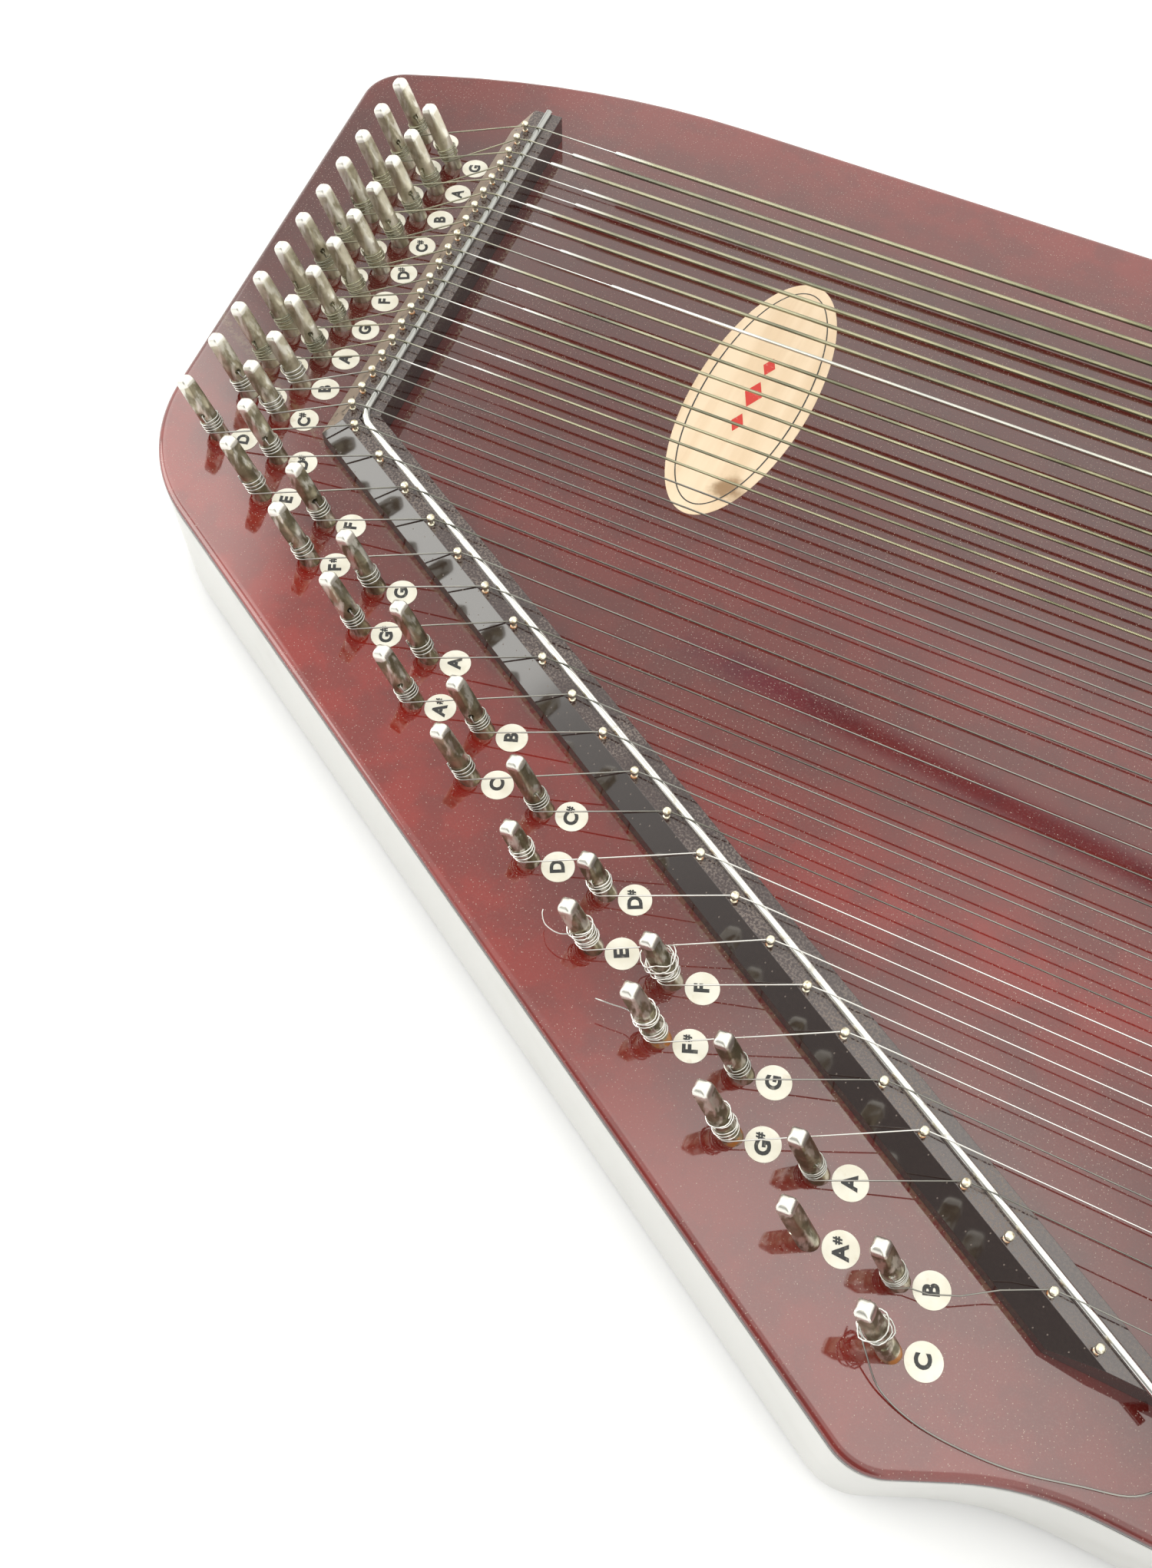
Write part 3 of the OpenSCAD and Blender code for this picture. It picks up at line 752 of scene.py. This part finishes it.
def black_gloss():
    """Black lacquer of the bridges: a painted wine-brown sheen and dust on the flat tops, beige dust down the
    end slope.
    """
    paint = Paint("black_gloss", (0.012, 0.011, 0.012), 0.07, specular=1.0)
    flat = paint.step(paint.normal("Z"), 0.85, 0.97)
    upper = paint.step(paint.normal("Z"), 0.1, 0.4)
    end_slope = paint.step(paint.normal("X"), -0.6, -0.45, 1.0, 0.0)
    grit = paint.times(paint.patches(1700, 5, 0.42, 0.64), paint.patches(60, 4, 0.36, 0.62, 0.35, 1.0))
    dust = paint.times(grit, paint.math("ADD", flat, 0.05))
    dust = paint.math("MAXIMUM", dust, paint.times(paint.specks(420, 0.08, 0.35), upper), clamp=True)
    thick = paint.times(paint.times(end_slope, upper), paint.patches(500, 5, 0.2, 0.5))
    # Painted sheen: faces that look up are lifted towards wine-brown, standing in for the studio's reflection on
    # the flat tops.
    colour = paint.mix(paint.times(flat, 0.8), (0.019, 0.010, 0.009), (0.036, 0.018, 0.018))
    colour = paint.mix(paint.times(dust, 0.55), colour, BRIDGE_DUST)
    colour = paint.mix(paint.times(thick, 0.75), colour, SLOPE_DUST)
    cover = paint.math("MAXIMUM", dust, thick)
    paint.set(base_color=colour, roughness=paint.step(cover, 0, 1, 0.07, 0.6))
    paint.bump(paint.noise(90, 3), 0.03, 0.25)
    return paint.material


def metal(name, clean, stained, rough, stain_from=0.45, stain_to=0.7, stain_scale=300):
    """Bare metal with duller stains."""
    paint = Paint(name, clean, rough, metal=1.0)
    stain = paint.patches(stain_scale, 5, stain_from, stain_to)
    paint.set(base_color=paint.mix(stain, clean, stained),
              roughness=paint.step(stain, 0, 1, rough, rough + 0.25))
    return paint


def worn_nickel():
    """Old nickel of the tuning pins; tone -1 is rust at the foot, 2 the worn bright top."""
    paint = Paint("worn_nickel", (0.3, 0.26, 0.19), 0.4, metal=1.0)
    tone = paint.tone()
    streaks = paint.noise(420, 4, (1, 1, 0.25))
    blotch = paint.noise(240, 5)
    silver = paint.mix(paint.step(blotch, 0.40, 0.66), (0.66, 0.62, 0.50), (0.36, 0.32, 0.23))
    brown = paint.mix(paint.step(blotch, 0.36, 0.60), (0.42, 0.38, 0.27), (0.19, 0.165, 0.105))
    old = paint.mix(paint.along_y(-30, 25, 1.0, 0.0), silver, brown)
    old = paint.mix(paint.step(streaks, 0.48, 0.62, 0.0, 0.8), old, RUBBED_NICKEL)
    ragged = paint.math("ADD", tone, paint.times(paint.math("SUBTRACT", blotch, 0.5), 1.6))
    bright = paint.step(ragged, 0.75, 1.05)
    rust = paint.times(paint.step(tone, -1.0, -0.1, 1.0, 0.0), paint.patches(500, 5, 0.3, 0.55))
    colour = paint.mix(rust, paint.mix(bright, old, BRIGHT_NICKEL), PIN_RUST)
    rough = paint.mix(bright, paint.step(blotch, 0.3, 0.7, 0.30, 0.46), (0.32, 0.32, 0.32))
    paint.set(base_color=colour, metallic=paint.step(rust, 0, 1, 1.0, 0.1), roughness=rough)
    paint.bump(streaks, 0.03, 0.4)
    return paint.material


def wound_wire():
    """Winding on the bass strings: fine turns across, greenish brass; tone 1 is bright steel."""
    paint = Paint("wound_wire", (0.45, 0.43, 0.30), 0.32, metal=1.0)
    tarnish = paint.step(paint.noise(160, 4, (0.3, 1, 1)), 0.35, 0.7)
    dull = paint.mix(tarnish, (0.35, 0.33, 0.21), (0.13, 0.13, 0.08))
    paint.set(base_color=paint.mix(paint.tone(), dull, (0.78, 0.78, 0.76)))
    turns = paint.node("TexWave", {"Vector": paint.place(), "Scale": 800}, "Fac",
                       wave_type="BANDS", bands_direction="X", wave_profile="SIN")
    paint.bump(turns, 0.12, 0.8)
    return paint.material


def plain_wire():
    """Tarnished steel wire; tone 1 is bright."""
    paint = Paint("plain_wire", (0.5, 0.5, 0.5), 0.28, metal=1.0)
    dull = paint.mix(paint.patches(220, 4, 0.4, 0.65), (0.095, 0.090, 0.062), (0.045, 0.043, 0.030))
    paint.set(base_color=paint.mix(paint.tone(), dull, (0.82, 0.81, 0.78)))
    return paint.material


def paper(name, light, dark, scale, stretch=(1, 1, 1)):
    """Matt paper with uneven fibre."""
    paint = Paint(name, light, 0.55, coat=0.15, coat_rough=0.3)
    paint.set(base_color=paint.mix(paint.step(paint.noise(scale, 4, stretch), 0.35, 0.7), light, dark))
    return paint


def note_paper():
    """Off-white paper with faint brown spots."""
    paint = paper("note_paper", (0.80, 0.77, 0.68), (0.72, 0.68, 0.57), 180)
    spots = paint.patches(350, 4, 0.62, 0.78)
    paint.set(base_color=paint.mix(paint.times(spots, 0.35), paint.base(), FOXING))
    return paint.material


def oval_paper():
    """Cream paper with faint lines along it and one brown stain."""
    paint = paper("oval_paper", (0.76, 0.60, 0.43), (0.68, 0.51, 0.34), 220, (1, 0.08, 1))
    away = paint.node("VectorMath", {0: paint.place(), 1: at(*OVAL_STAIN)}, "Value", operation="DISTANCE")
    ragged = paint.math("ADD", away, paint.times(paint.noise(260, 5), 0.009))
    stain = paint.step(ragged, 0.0055, 0.0105, 0.85, 0.0)
    paint.set(base_color=paint.mix(stain, paint.base(), STAIN))
    return paint.material


def ink(name, colour):
    """Print, a little worn, so that the paper shows."""
    paint = Paint(name, colour, 0.45)
    paint.set(base_color=paint.mix(paint.patches(900, 3, 0.55, 0.8, 0.0, 0.35), colour, PAPER_SHOWING))
    return paint.material


def satin(name, colour, rough, coat=0.0, grain=300, depth=0.02):
    """Plastic, rubber or painted wood with a faint grain."""
    paint = Paint(name, colour, rough, coat=coat, coat_rough=0.12)
    darker = tuple(c * 0.72 for c in colour)
    paint.set(base_color=paint.mix(paint.noise(35, 4), darker, colour),
              roughness=paint.patches(90, 4, 0.3, 0.8, rough * 0.8, min(1.0, rough * 1.25)))
    paint.bump(paint.noise(grain, 3), depth, 0.5)
    return paint.material


def felt():
    paint = Paint("red_felt", (0.36, 0.02, 0.03), 0.95)
    paint.set(sheen_weight=0.6)
    fuzz = paint.noise(1500, 6)
    paint.set(base_color=paint.mix(fuzz, (0.20, 0.012, 0.018), (0.48, 0.03, 0.04)))
    paint.bump(fuzz, 0.25, 0.9)
    return paint.material


def steel_rod():
    """Bridge and hitch rods: bright along the diagonal, darker along the end."""
    paint = metal("steel_rod", (0.80, 0.79, 0.76), (0.46, 0.44, 0.40), 0.16, 0.56, 0.78, 420)
    paint.set(base_color=paint.mix(paint.along_y(-3, 6), paint.base(), (0.40, 0.40, 0.385)))
    return paint.material


def small_pin_metal():
    """Brassy nickel of the bridge and hitch pins; tone 1 is the orange rust round a foot."""
    paint = metal("small_pins", (0.78, 0.75, 0.62), (0.40, 0.31, 0.18), 0.28, 0.50, 0.68, 900)
    rust = paint.times(paint.tone(), paint.patches(700, 4, 0.49, 0.58))
    paint.set(base_color=paint.mix(rust, paint.base(), SMALL_RUST),
              metallic=paint.step(rust, 0, 1, 1.0, 0.0))
    return paint.material


RED = red_lacquer()
RIM_BLACK = rim_black()
GREY = grey_lacquer()
SPRUCE = bare_wood("spruce", (0.62, 0.45, 0.27), (0.46, 0.30, 0.16))
BLACK = black_gloss()
NICKEL = worn_nickel()
ROD_STEEL = steel_rod()
PIN_METAL = small_pin_metal()
WOUND = wound_wire()
PLAIN = plain_wire()
NOTE_PAPER = note_paper()
OVAL_PAPER = oval_paper()
BLACK_INK = ink("black_ink", (0.02, 0.02, 0.02))
RED_INK = ink("red_ink", (0.55, 0.03, 0.02))
HOLDER = satin("black_plastic", (0.022, 0.022, 0.023), 0.35, 0.3)
BAR = satin("bar_black", (0.035, 0.034, 0.034), 0.4, 0.2, 220, 0.03)
IVORY = satin("ivory", (0.80, 0.75, 0.62), 0.25, 0.4)
RUBBER = satin("rubber", (0.035, 0.034, 0.033), 0.85, 0.0, 700, 0.05)
FELT = felt()
SPRING = metal("spring_steel", (0.70, 0.70, 0.68), (0.42, 0.40, 0.36), 0.25).material
SCREW = metal("screw_steel", (0.68, 0.65, 0.56), (0.40, 0.34, 0.22), 0.3).material


# ---------- camera and the loose cord ----------

def camera():
    """Camera above the treble side, looking down past the ear towards the bass corner."""
    made = linked("camera", bpy.data.cameras.new("camera"))
    made.data.lens = FOCAL_LENGTH
    made.data.sensor_width = SENSOR_WIDTH
    made.data.clip_start = 0.01
    right = Vector(CAMERA_RIGHT).normalized()
    ahead = Vector(CAMERA_AHEAD).normalized()
    turn = Matrix((right, right.cross(ahead), -ahead)).transposed()
    made.matrix_world = Matrix.Translation(at(*CAMERA_PLACE)) @ turn.to_4x4()
    bpy.context.scene.camera = made


def smooth_route(points, steps):
    """Smooth curve through points, with steps parts between each two."""
    points = [Vector(p) for p in points]
    last = len(points) - 1
    curve = []
    for i in range(last):
        a, b, c, d = (points[min(max(j, 0), last)] for j in (i - 1, i, i + 1, i + 2))
        for j in range(steps):
            s = j / steps
            curve.append(0.5 * (2 * b + (c - a) * s + (2 * a - 5 * b + 4 * c - d) * s * s
                                + (3 * b - a - 3 * c + d) * s ** 3))
    return curve + [points[-1]]


def loose_cord():
    """String 43, off its bridge pin: from its tuning pin over the board to its hitch pin."""
    route = smooth_route(LOOSE_ROUTE, 6)
    build = Build()
    build.tube(route, LOOSE_R, 8, 0.35)
    obj = build.piece("loose_wire", PLAIN, "plain_wire", replaces=("loose_string",))


camera()
loose_cord()


# ---------- light and floor ----------

def studio():
    """Bright even studio dome, a little uneven as real walls and screens are, and a pale floor."""
    world = bpy.data.worlds.new("studio")
    bpy.context.scene.world = world
    world.use_nodes = True
    sky = Nodes(world.node_tree)
    where = sky.node("TexCoord", {}, "Generated")

    def toward(direction):
        """Cosine of the angle between this direction and where the dome is seen."""
        pair = {0: where, 1: Vector(direction).normalized()}
        return sky.node("VectorMath", pair, "Value", operation="DOT_PRODUCT")

    strength = DOME_STRENGTH
    for direction, start, full, added in DOME_PATCHES:
        strength = sky.math("ADD", strength, sky.step(toward(direction), start, full, 0.0, added))
    seam = sky.step(sky.math("ABSOLUTE", toward(SEAM_NORMAL)), 0.005, 0.009)
    seam_end = sky.step(toward((1, 0, 0)), -0.22, -0.06, 1.0, 0.0)
    seam_foot = sky.step(toward((0, 0, 1)), 0.70, 0.80, 1.0, 0.0)
    lit = sky.math("MAXIMUM", seam, sky.math("MAXIMUM", seam_end, seam_foot))
    background = world.node_tree.nodes["Background"]
    shaded = sky.math("ADD", sky.times(lit, 0.95), 0.05)
    sky.put(sky.times(strength, shaded), background.inputs["Strength"])
    sky.put(sky.mix(lit, (0.4, 0.35, 1.0), (1.0, 1.0, 0.95)), background.inputs["Color"])

    mesh = bpy.data.meshes.new("floor")
    corners = [(x * FLOOR_REACH, y * FLOOR_REACH, 0) for x, y in ((-1, -1), (1, -1), (1, 1), (-1, 1))]
    mesh.from_pydata(corners, [], [(0, 1, 2, 3)])
    mesh.materials.append(Paint("floor_white", (0.86, 0.86, 0.88), 0.7).material)
    floor = linked("floor", mesh)
    bpy.context.scene.view_settings.view_transform = "Standard"


studio()


# ---------- body ----------

def body():
    """Red top over a thin black edge, grey sides round the hollow, and the back."""
    outline = rounded_outline(OUTLINE)
    hole = [circle(*SOUND_HOLE_PLACE, SOUND_HOLE_R)]
    top = plate(outline, -RIM_T, 0, 0, RIM_ROUND, hole)
    top.piece("lacquered_top", RED, "red_lacquer", replaces=("soundboard",))
    edge = plate(inset(outline, RIM_INSET), -TOP_T, -RIM_T, 0, 0, hole)
    edge.piece("black_rim", RIM_BLACK, "black_wood")
    bass_in = BASS_EDGE - RAIL_W
    treble_in = -TREBLE_EDGE + RAIL_W
    cavity = [Vector(p) for p in (
        (rod_x(bass_in), bass_in), (0, BEND_Y), (rod_x(treble_in), treble_in),
        (HITCH_BLOCK_X, treble_in), (HITCH_BLOCK_X, bass_in))]
    sides = plate(outline, BACK_T - BODY_DEPTH, -TOP_T, 0, 0.4, [cavity])
    sides.piece("lacquered_sides", GREY, "grey_lacquer",
                replaces=("pin_block", "side_rails", "hitch_block"))
    back = plate(outline, -BODY_DEPTH, BACK_T - BODY_DEPTH, RIM_ROUND, 0)
    back.piece("lacquered_back", GREY, "grey_lacquer", replaces=("back_plate",))


def bridges():
    """Bridge bases, the round-headed pins beside their rods, and the hitch pins."""
    softened("bridge_base_end", 0.5, BLACK)
    softened("bridge_base_diagonal", 0.5, BLACK)
    softened("hitch_bridge", 0.6, BLACK)
    profile = [(BRIDGE_PIN_R + wider, BRIDGE_H + h) for wider, h in BRIDGE_PIN_FOOT]
    profile.append((BRIDGE_PIN_R, ROD_TOP - 0.15))
    profile += [(r, ROD_TOP + h) for r, h in BRIDGE_PIN_HEAD]
    tones = [1.0, 1.0, 1.0, 0.3] + [0.0] * (len(profile) - 4)
    pins = Build()
    hitches = Build()
    for k in range(1, STRINGS + 1):
        y = string_y(k)
        base = (bridge_pin_x(k), y - BRIDGE_PIN_OFF, rng.uniform(-0.1, 0.15))
        pins.turned(base, profile, 16, tones)
        hitches.turned((hitch_pin_x(k), y, 0), HITCH_PIN, 16)
    pins.piece("bridge_pin_heads", PIN_METAL, "small_pins", replaces=("bridge_pins",))
    hitches.piece("hitch_pin_heads", PIN_METAL, "small_pins", replaces=("hitch_pins",))


# ---------- tuning pins ----------

def round_pin(foot, h, angle, reach):
    """Place at height h on a tuning pin's axis and reach away from it."""
    return foot + PIN_AXIS * h + (PIN_SIDE * cos(angle) + PIN_ACROSS * sin(angle)) * reach


def pin_ring(foot, h, r, flat, hole_angle):
    """Ring at height h: a circle of radius r cut by four flats, dimpled by the wire hole."""
    corner_power = 8
    ring = []
    for a in ring_angles(56):
        c, s = abs(cos(a)), abs(sin(a))
        square = flat / (c ** corner_power + s ** corner_power) ** (1 / corner_power)
        reach = min(r, square)
        off = remainder(a - hole_angle, 2 * pi) * r
        if hypot(off, h - WIRE_HOLE_H) < WIRE_HOLE_R:
            reach -= WIRE_HOLE_DEPTH
        ring.append(round_pin(foot, h, a, reach))
    return ring


def hole_angle(k):
    """Where the wire enters pin k: towards the treble side, a little different on each pin."""
    return radians(-75 + 50 * sin(2.4 * k))


def add_pin(build, k):
    """Tuning pin k, as layers of height, radius, distance of its flats and tone."""
    foot = pin_foot(k)
    length = PIN_HEIGHTS.get(k, PIN_H) / cos(PIN_LEAN)
    top = length - PIN_TIP
    head = max(length - PIN_HEAD, WIRE_HOLE_H + 1)
    rust = -1.0 if k in RUSTY_PINS else rng.choice((0.0, 0.0, -0.3))
    layers = [(-PIN_DEPTH, PIN_R - 0.4, UNCUT, 0.0), (-PIN_DEPTH + 0.6, PIN_R, UNCUT, 0.0)]
    layers += [(h, PIN_R, UNCUT, rust) for h in (-0.3, 0.6, 1.4)]
    layers.append((2.2, PIN_R, UNCUT, 0.0))
    layers += [(WIRE_HOLE_H - 1 + 0.25 * i, PIN_R, UNCUT, 0.0) for i in range(9)]
    if top > head + 1:
        layers += [(head + h, r, flat, 0.0) for h, r, flat in PIN_FLATS if head + h < top - 2]
    layers += [(top + h, r, flat, tone) for h, r, flat, tone in PIN_WEAR]
    _, dome_r, dome_flat, _ = PIN_WEAR[-1]
    for turn in (15, 30, 45, 60, 75):
        size = cos(radians(turn)) ** 0.9
        h = length - PIN_TIP * (1 - sin(radians(turn)))
        layers.append((h, dome_r * size, dome_flat * size + 0.02, 2.0))
    layers.append((length, 0.3, 0.3, 2.0))
    rings = [pin_ring(foot, h, r, flat, hole_angle(k)) for h, r, flat, tone in layers]
    build.loft(rings, [layer[3] for layer in layers])


def tuning_pins():
    fixed = Build()
    for k in range(1, STRINGS + 1):
        if k != BARE_PIN:
            add_pin(fixed, k)
    fixed.piece("tapered_tuning_pins", NICKEL, "worn_nickel", replaces=("tuning_pins",), sharp_deg=28)
    bare = Build()
    add_pin(bare, BARE_PIN)
    bare.piece("tapered_bare_pin", NICKEL, "worn_nickel", "bare_pin", ("bare_tuning_pin",), 28)


# ---------- strings ----------

def coil_points(k, low, turns, spread, r, exit_angle, wobble):
    """Wire round pin k, from the top of the coil down to where it leaves at exit_angle."""
    count = int(COIL_STEPS * turns)
    points = []
    for i in range(count + 1):
        left = 1 - i / count
        a = exit_angle - 2 * pi * turns * left
        h = low + spread * left + wobble * sin(3.1 * a)
        reach = PIN_R + r + COIL_GAP + wobble * (1 + sin(1.7 * a + k))
        points.append(round_pin(pin_foot(k), h, a, reach))
    return points


def string_points(k):
    """Wire of string k from the hole in its tuning pin to the top of the bridge rod."""
    y = string_y(k)
    r = core_r(k)
    foot = pin_foot(k)
    enters = hole_angle(k)
    pin_pass = Vector((bridge_pin_x(k), y - BRIDGE_PIN_OFF + BRIDGE_PIN_R + r + WIRE_GAP, ROD_TOP - 0.5))
    low = COIL_Z / cos(PIN_LEAN) - 1.2
    centre = foot + PIN_AXIS * low
    along = (pin_pass - centre).normalized()
    exit_angle = atan2(-along.x, along.y)
    turns = 3 + ((exit_angle - enters) / (2 * pi)) % 1
    wobble = 0.12 if k in BRIGHT_STRINGS else 0.04
    points = [round_pin(foot, WIRE_HOLE_H, enters, reach) for reach in (PIN_R - 0.9, PIN_R + r)]
    points += coil_points(k, low, turns, COIL_SPREAD, r, exit_angle, wobble)
    if k == SLACK_STRING:
        points += [Vector(p) for p in SLACK_ROUTE]
    return points + [pin_pass, Vector((rod_x(y), y, ROD_TOP + r + WIRE_GAP))]


def string_finish(k):
    """From over the hitch rod down to the hitch pin and one loop round it."""
    y = string_y(k)
    r = core_r(k)
    pin = Vector((hitch_pin_x(k), y, 3))
    points = [Vector((hitch_x(y), y, ROD_TOP + r + WIRE_GAP))]
    loop_r = HITCH_PIN_R + r + COIL_GAP
    for j in range(COIL_STEPS + 1):
        a = radians(-120 + 330 * j / COIL_STEPS)
        climb = r * j / COIL_STEPS - 0.6
        points.append(pin + Vector((cos(a) * loop_r, sin(a) * loop_r, climb)))
    return points


def winding_start(k):
    """Distance from the rod to where the winding of string k starts."""
    return 46 if k == SILVER_STRING else 18 + 9 * sin(radians(100 * k))


def wound_strings():
    """Bass strings: steel core at both ends, winding between, brighter where it starts."""
    build = Build()
    for k in range(1, LAST_WOUND + 1):
        y = string_y(k)
        core, full = core_r(k), wound_r(k)
        x0 = rod_x(y) + winding_start(k)
        x1 = hitch_x(y) - 12
        bright_l, near, far, middle = (40, 1, 0.6, 0.5) if k == SILVER_STRING else (4, 0.7, 0.1, 0.0)
        run = [(x0 - 4, core, 1), (x0 - 0.3, core, 1), (x0, full * 0.9, 1), (x0 + 0.8, full, 1)]
        run += [(x0 + bright_l, full, near), (x0 + bright_l + 9, full, far)]
        run += [(x0 + (x1 - x0) * s, full, middle) for s in (0.4, 0.6, 0.8)]
        run += [(x1 - 0.8, full, 0.4), (x1, full * 0.9, 0.6), (x1 + 0.4, core, 0.6)]
        start = string_points(k)
        end = string_finish(k)
        points = start + [Vector((x, y, ROD_TOP + core + WIRE_GAP)) for x, r, tone in run] + end
        radii = [core] * len(start) + [r for x, r, tone in run] + [core] * len(end)
        tones = [0.15] * len(start) + [tone for x, r, tone in run] + [0.3] * len(end)
        build.tube(points, radii, 10, tones)
    build.piece("wound_wires", WOUND, "wound_wire", replaces=("wound_strings",), sharp_deg=60)


def plain_strings():
    """Plain strings, the untidy turns and tails on some pins, and the loose string's coil."""
    build = Build()
    for k in range(LAST_WOUND + 1, SLACK_STRING + 1):
        if k == BARE_PIN:
            continue
        y = string_y(k)
        r = core_r(k)
        x0 = rod_x(y)
        length = hitch_x(y) - x0
        start = string_points(k)
        middle = [Vector((x0 + length * s, y, ROD_TOP + r + WIRE_GAP)) for s in (0.2, 0.5, 0.8)]
        points = start + middle + string_finish(k)
        tone = 0.95 if k in BRIGHT_STRINGS else 0.12 + 0.2 * rng.random()
        on_pin = len(start) - (6 if k == SLACK_STRING else 2)
        build.tube(points, r, 8, [max(tone, 0.6)] * on_pin + [tone] * (len(points) - on_pin))
    for k, low, turns, spread, exit_angle, wobble, r in EXTRA_TURNS:
        coil = coil_points(k, low, turns, spread, 0.2, exit_angle, wobble)
        build.tube(coil, r, 8, 0.95)
    for tail in WIRE_TAILS:
        build.tube(smooth_route(tail, 6), TAIL_R, 6, 0.9)
    coil = coil_points(LOOSE_STRING, 13, 3.2, 3.4, 0.2, -1.9, 0.55)
    build.tube(smooth_route(coil[:-2:3] + [Vector(LOOSE_ROUTE[0])], 3), LOOSE_R, 8, 0.75)
    build.piece("plain_wires", PLAIN, "plain_wire", replaces=("plain_strings",), sharp_deg=60)


# ---------- labels ----------

def lettering(text, place, angle, size):
    """Flat mesh of a letter on a note label."""
    curve = bpy.data.curves.new("letters", "FONT")
    curve.body = text
    curve.size = size * MM
    curve.align_x = "CENTER"
    curve.align_y = "CENTER"
    curve.offset = 0.045 * size * MM
    curve.resolution_u = 4
    obj = linked("letters", curve)
    obj.matrix_world = Matrix.Translation(at(*place, LABEL_T - 0.04)) @ Matrix.Rotation(angle, 4, "Z")
    bpy.context.view_layer.update()
    graph = bpy.context.evaluated_depsgraph_get()
    mesh = bpy.data.meshes.new_from_object(obj.evaluated_get(graph))
    mesh.transform(obj.matrix_world)
    bpy.data.objects.remove(obj)
    return mesh


def joined(meshes, thickness):
    """One mesh of many flat ones, each raised to a thin solid."""
    whole = bmesh.new()
    for mesh in meshes:
        whole.from_mesh(mesh)
    bmesh.ops.remove_doubles(whole, verts=whole.verts, dist=1e-6)
    bmesh.ops.recalc_face_normals(whole, faces=whole.faces)
    for face in whole.faces:
        if face.normal.z < 0:
            face.normal_flip()
    raised = bmesh.ops.extrude_face_region(whole, geom=whole.faces[:])
    for item in raised["geom"]:
        if isinstance(item, bmesh.types.BMVert):
            item.co.z += thickness * MM
    bmesh.ops.recalc_face_normals(whole, faces=whole.faces)
    mesh = bpy.data.meshes.new("joined")
    whole.to_mesh(mesh)
    whole.free()
    return mesh


def note_labels():
    """One paper disc before each tuning pin, with the note that its string sounds."""
    profile = (
        (LABEL_R - 0.03, 0), (LABEL_R, 0.05), (LABEL_R - 0.03, LABEL_T - 0.02),
        (LABEL_R - 0.4, LABEL_T - 0.04), (LABEL_R / 2, INK_LOW), (0.02, INK_LOW))
    discs = Build()
    letters = []
    for k in range(1, STRINGS + 1):
        foot = pin_foot(k)
        place = Vector((foot.x + LABEL_LEAD[0], foot.y + LABEL_LEAD[1]))
        discs.turned((*place, 0), profile, 48)
        angle = radians(LABEL_TURN + rng.uniform(-9, 9))
        note = NOTES[(k - 1) % len(NOTES)]
        if len(note) == 1:
            letters.append(lettering(note, place, angle, LETTER_SIZE))
            continue
        along = Vector((cos(angle), sin(angle)))
        up = Vector((-sin(angle), cos(angle)))
        letters.append(lettering(note[0], place - along * 0.75 - up * 0.1, angle, LETTER_SIZE))
        letters.append(lettering("#", place + along * 1.75 + up * 0.75, angle, LETTER_SIZE * 0.55))
    discs.piece("note_label_discs", NOTE_PAPER, "note_paper", replaces=("note_labels",))
    finish_piece("note_letters", joined(letters, 0.04), BLACK_INK)


def ellipse(half_w, half_l):
    x, y = OVAL_PLACE
    return [Vector((x + half_w * cos(a), y + half_l * sin(a))) for a in ring_angles(120)]


def oval_label():
    """Plain oval paper label with a thin line round it and three small lozenges."""
    sheet = plate(ellipse(17, 47), 0, LABEL_T, 0, 0.1)
    sheet.piece("oval_label", OVAL_PAPER, "label_paper", replaces=("paper_label",))
    line = plate(ellipse(14.4, 43.4), INK_LOW, INK_HIGH, 0, 0, [ellipse(14.0, 43.0)])
    line.piece("oval_label_line", BLACK_INK, "label_paper")
    x, y = OVAL_PLACE
    marks = Build()
    for step in (-1, 0, 1):
        half = 5.2 - 1.6 * abs(step)
        middle = y + step * 11.5
        corners = ((half * 0.5, 0), (0, half), (-half * 0.5, 0), (0, -half))
        part = plate([Vector((x + dx, middle + dy)) for dx, dy in corners], INK_LOW, INK_HIGH, 0, 0)
        start = len(marks.verts)
        marks.verts += part.verts
        marks.tones += part.tones
        marks.faces += [tuple(start + v for v in face) for face in part.faces]
    marks.piece("oval_label_lozenges", RED_INK, "label_paper")


# ---------- chord bars ----------

def spring_points(x, y):
    """Coil spring with closed turns at both ends."""
    turns, per_turn = 6, 16
    height = BAR_Z - SPRING_SEAT - 0.6
    points = []
    for i in range(turns * per_turn + 1):
        s = i / (turns * per_turn)
        rise = min(1, max(0, (s * turns - 0.9) / (turns - 1.8)))
        a = 2 * pi * s * turns
        z = SPRING_SEAT + 0.3 + height * rise
        points.append((x + SPRING_R * cos(a), y + SPRING_R * sin(a), z))
    return points


def button(n, x):
    build = Build()
    build.turned((x, BUTTON_ROWS[n % 2], BAR_Z + BAR_H), BUTTON, 40)
    build.piece(f"button_{n}_cap", IVORY, "ivory", f"bar_{n}", (f"button_{n}",), 50)


def chord_bars():
    """Holders and bars; each bar carries its felts and button down on two springs."""
    softened("bar_holder_bass", 1.2, HOLDER)
    softened("bar_holder_treble", 1.2, HOLDER)
    for n in range(1, BAR_COUNT + 1):
        x = BAR_X1 + (n - 1) * BAR_PITCH
        softened(f"chord_bar_{n}", 1.0, BAR, f"bar_{n}")
        softened(f"felts_{n}", 0.6, FELT, f"bar_{n}", 2, 0.05)
        button(n, x)
        build = Build()
        for y in SPRING_YS:
            build.tube(spring_points(x, y), 0.3, 6)
        spring = build.piece(f"bar_{n}_springs", SPRING, "spring_steel",
                             replaces=("bar_springs",), sharp_deg=60)
        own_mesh(spring)


def carried_over():
    """CAD nodes that are shown as they are, with their own materials."""
    for node, material in (("bridge_rods", ROD_STEEL), ("braces", SPRUCE)):
        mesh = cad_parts[node].data
        mesh.materials.clear()
        mesh.materials.append(material)
    softened("feet", 0.8, RUBBER)
    softened("screws", 0.35, SCREW)


body()
bridges()
tuning_pins()
wound_strings()
plain_strings()
note_labels()
oval_label()
chord_bars()
carried_over()
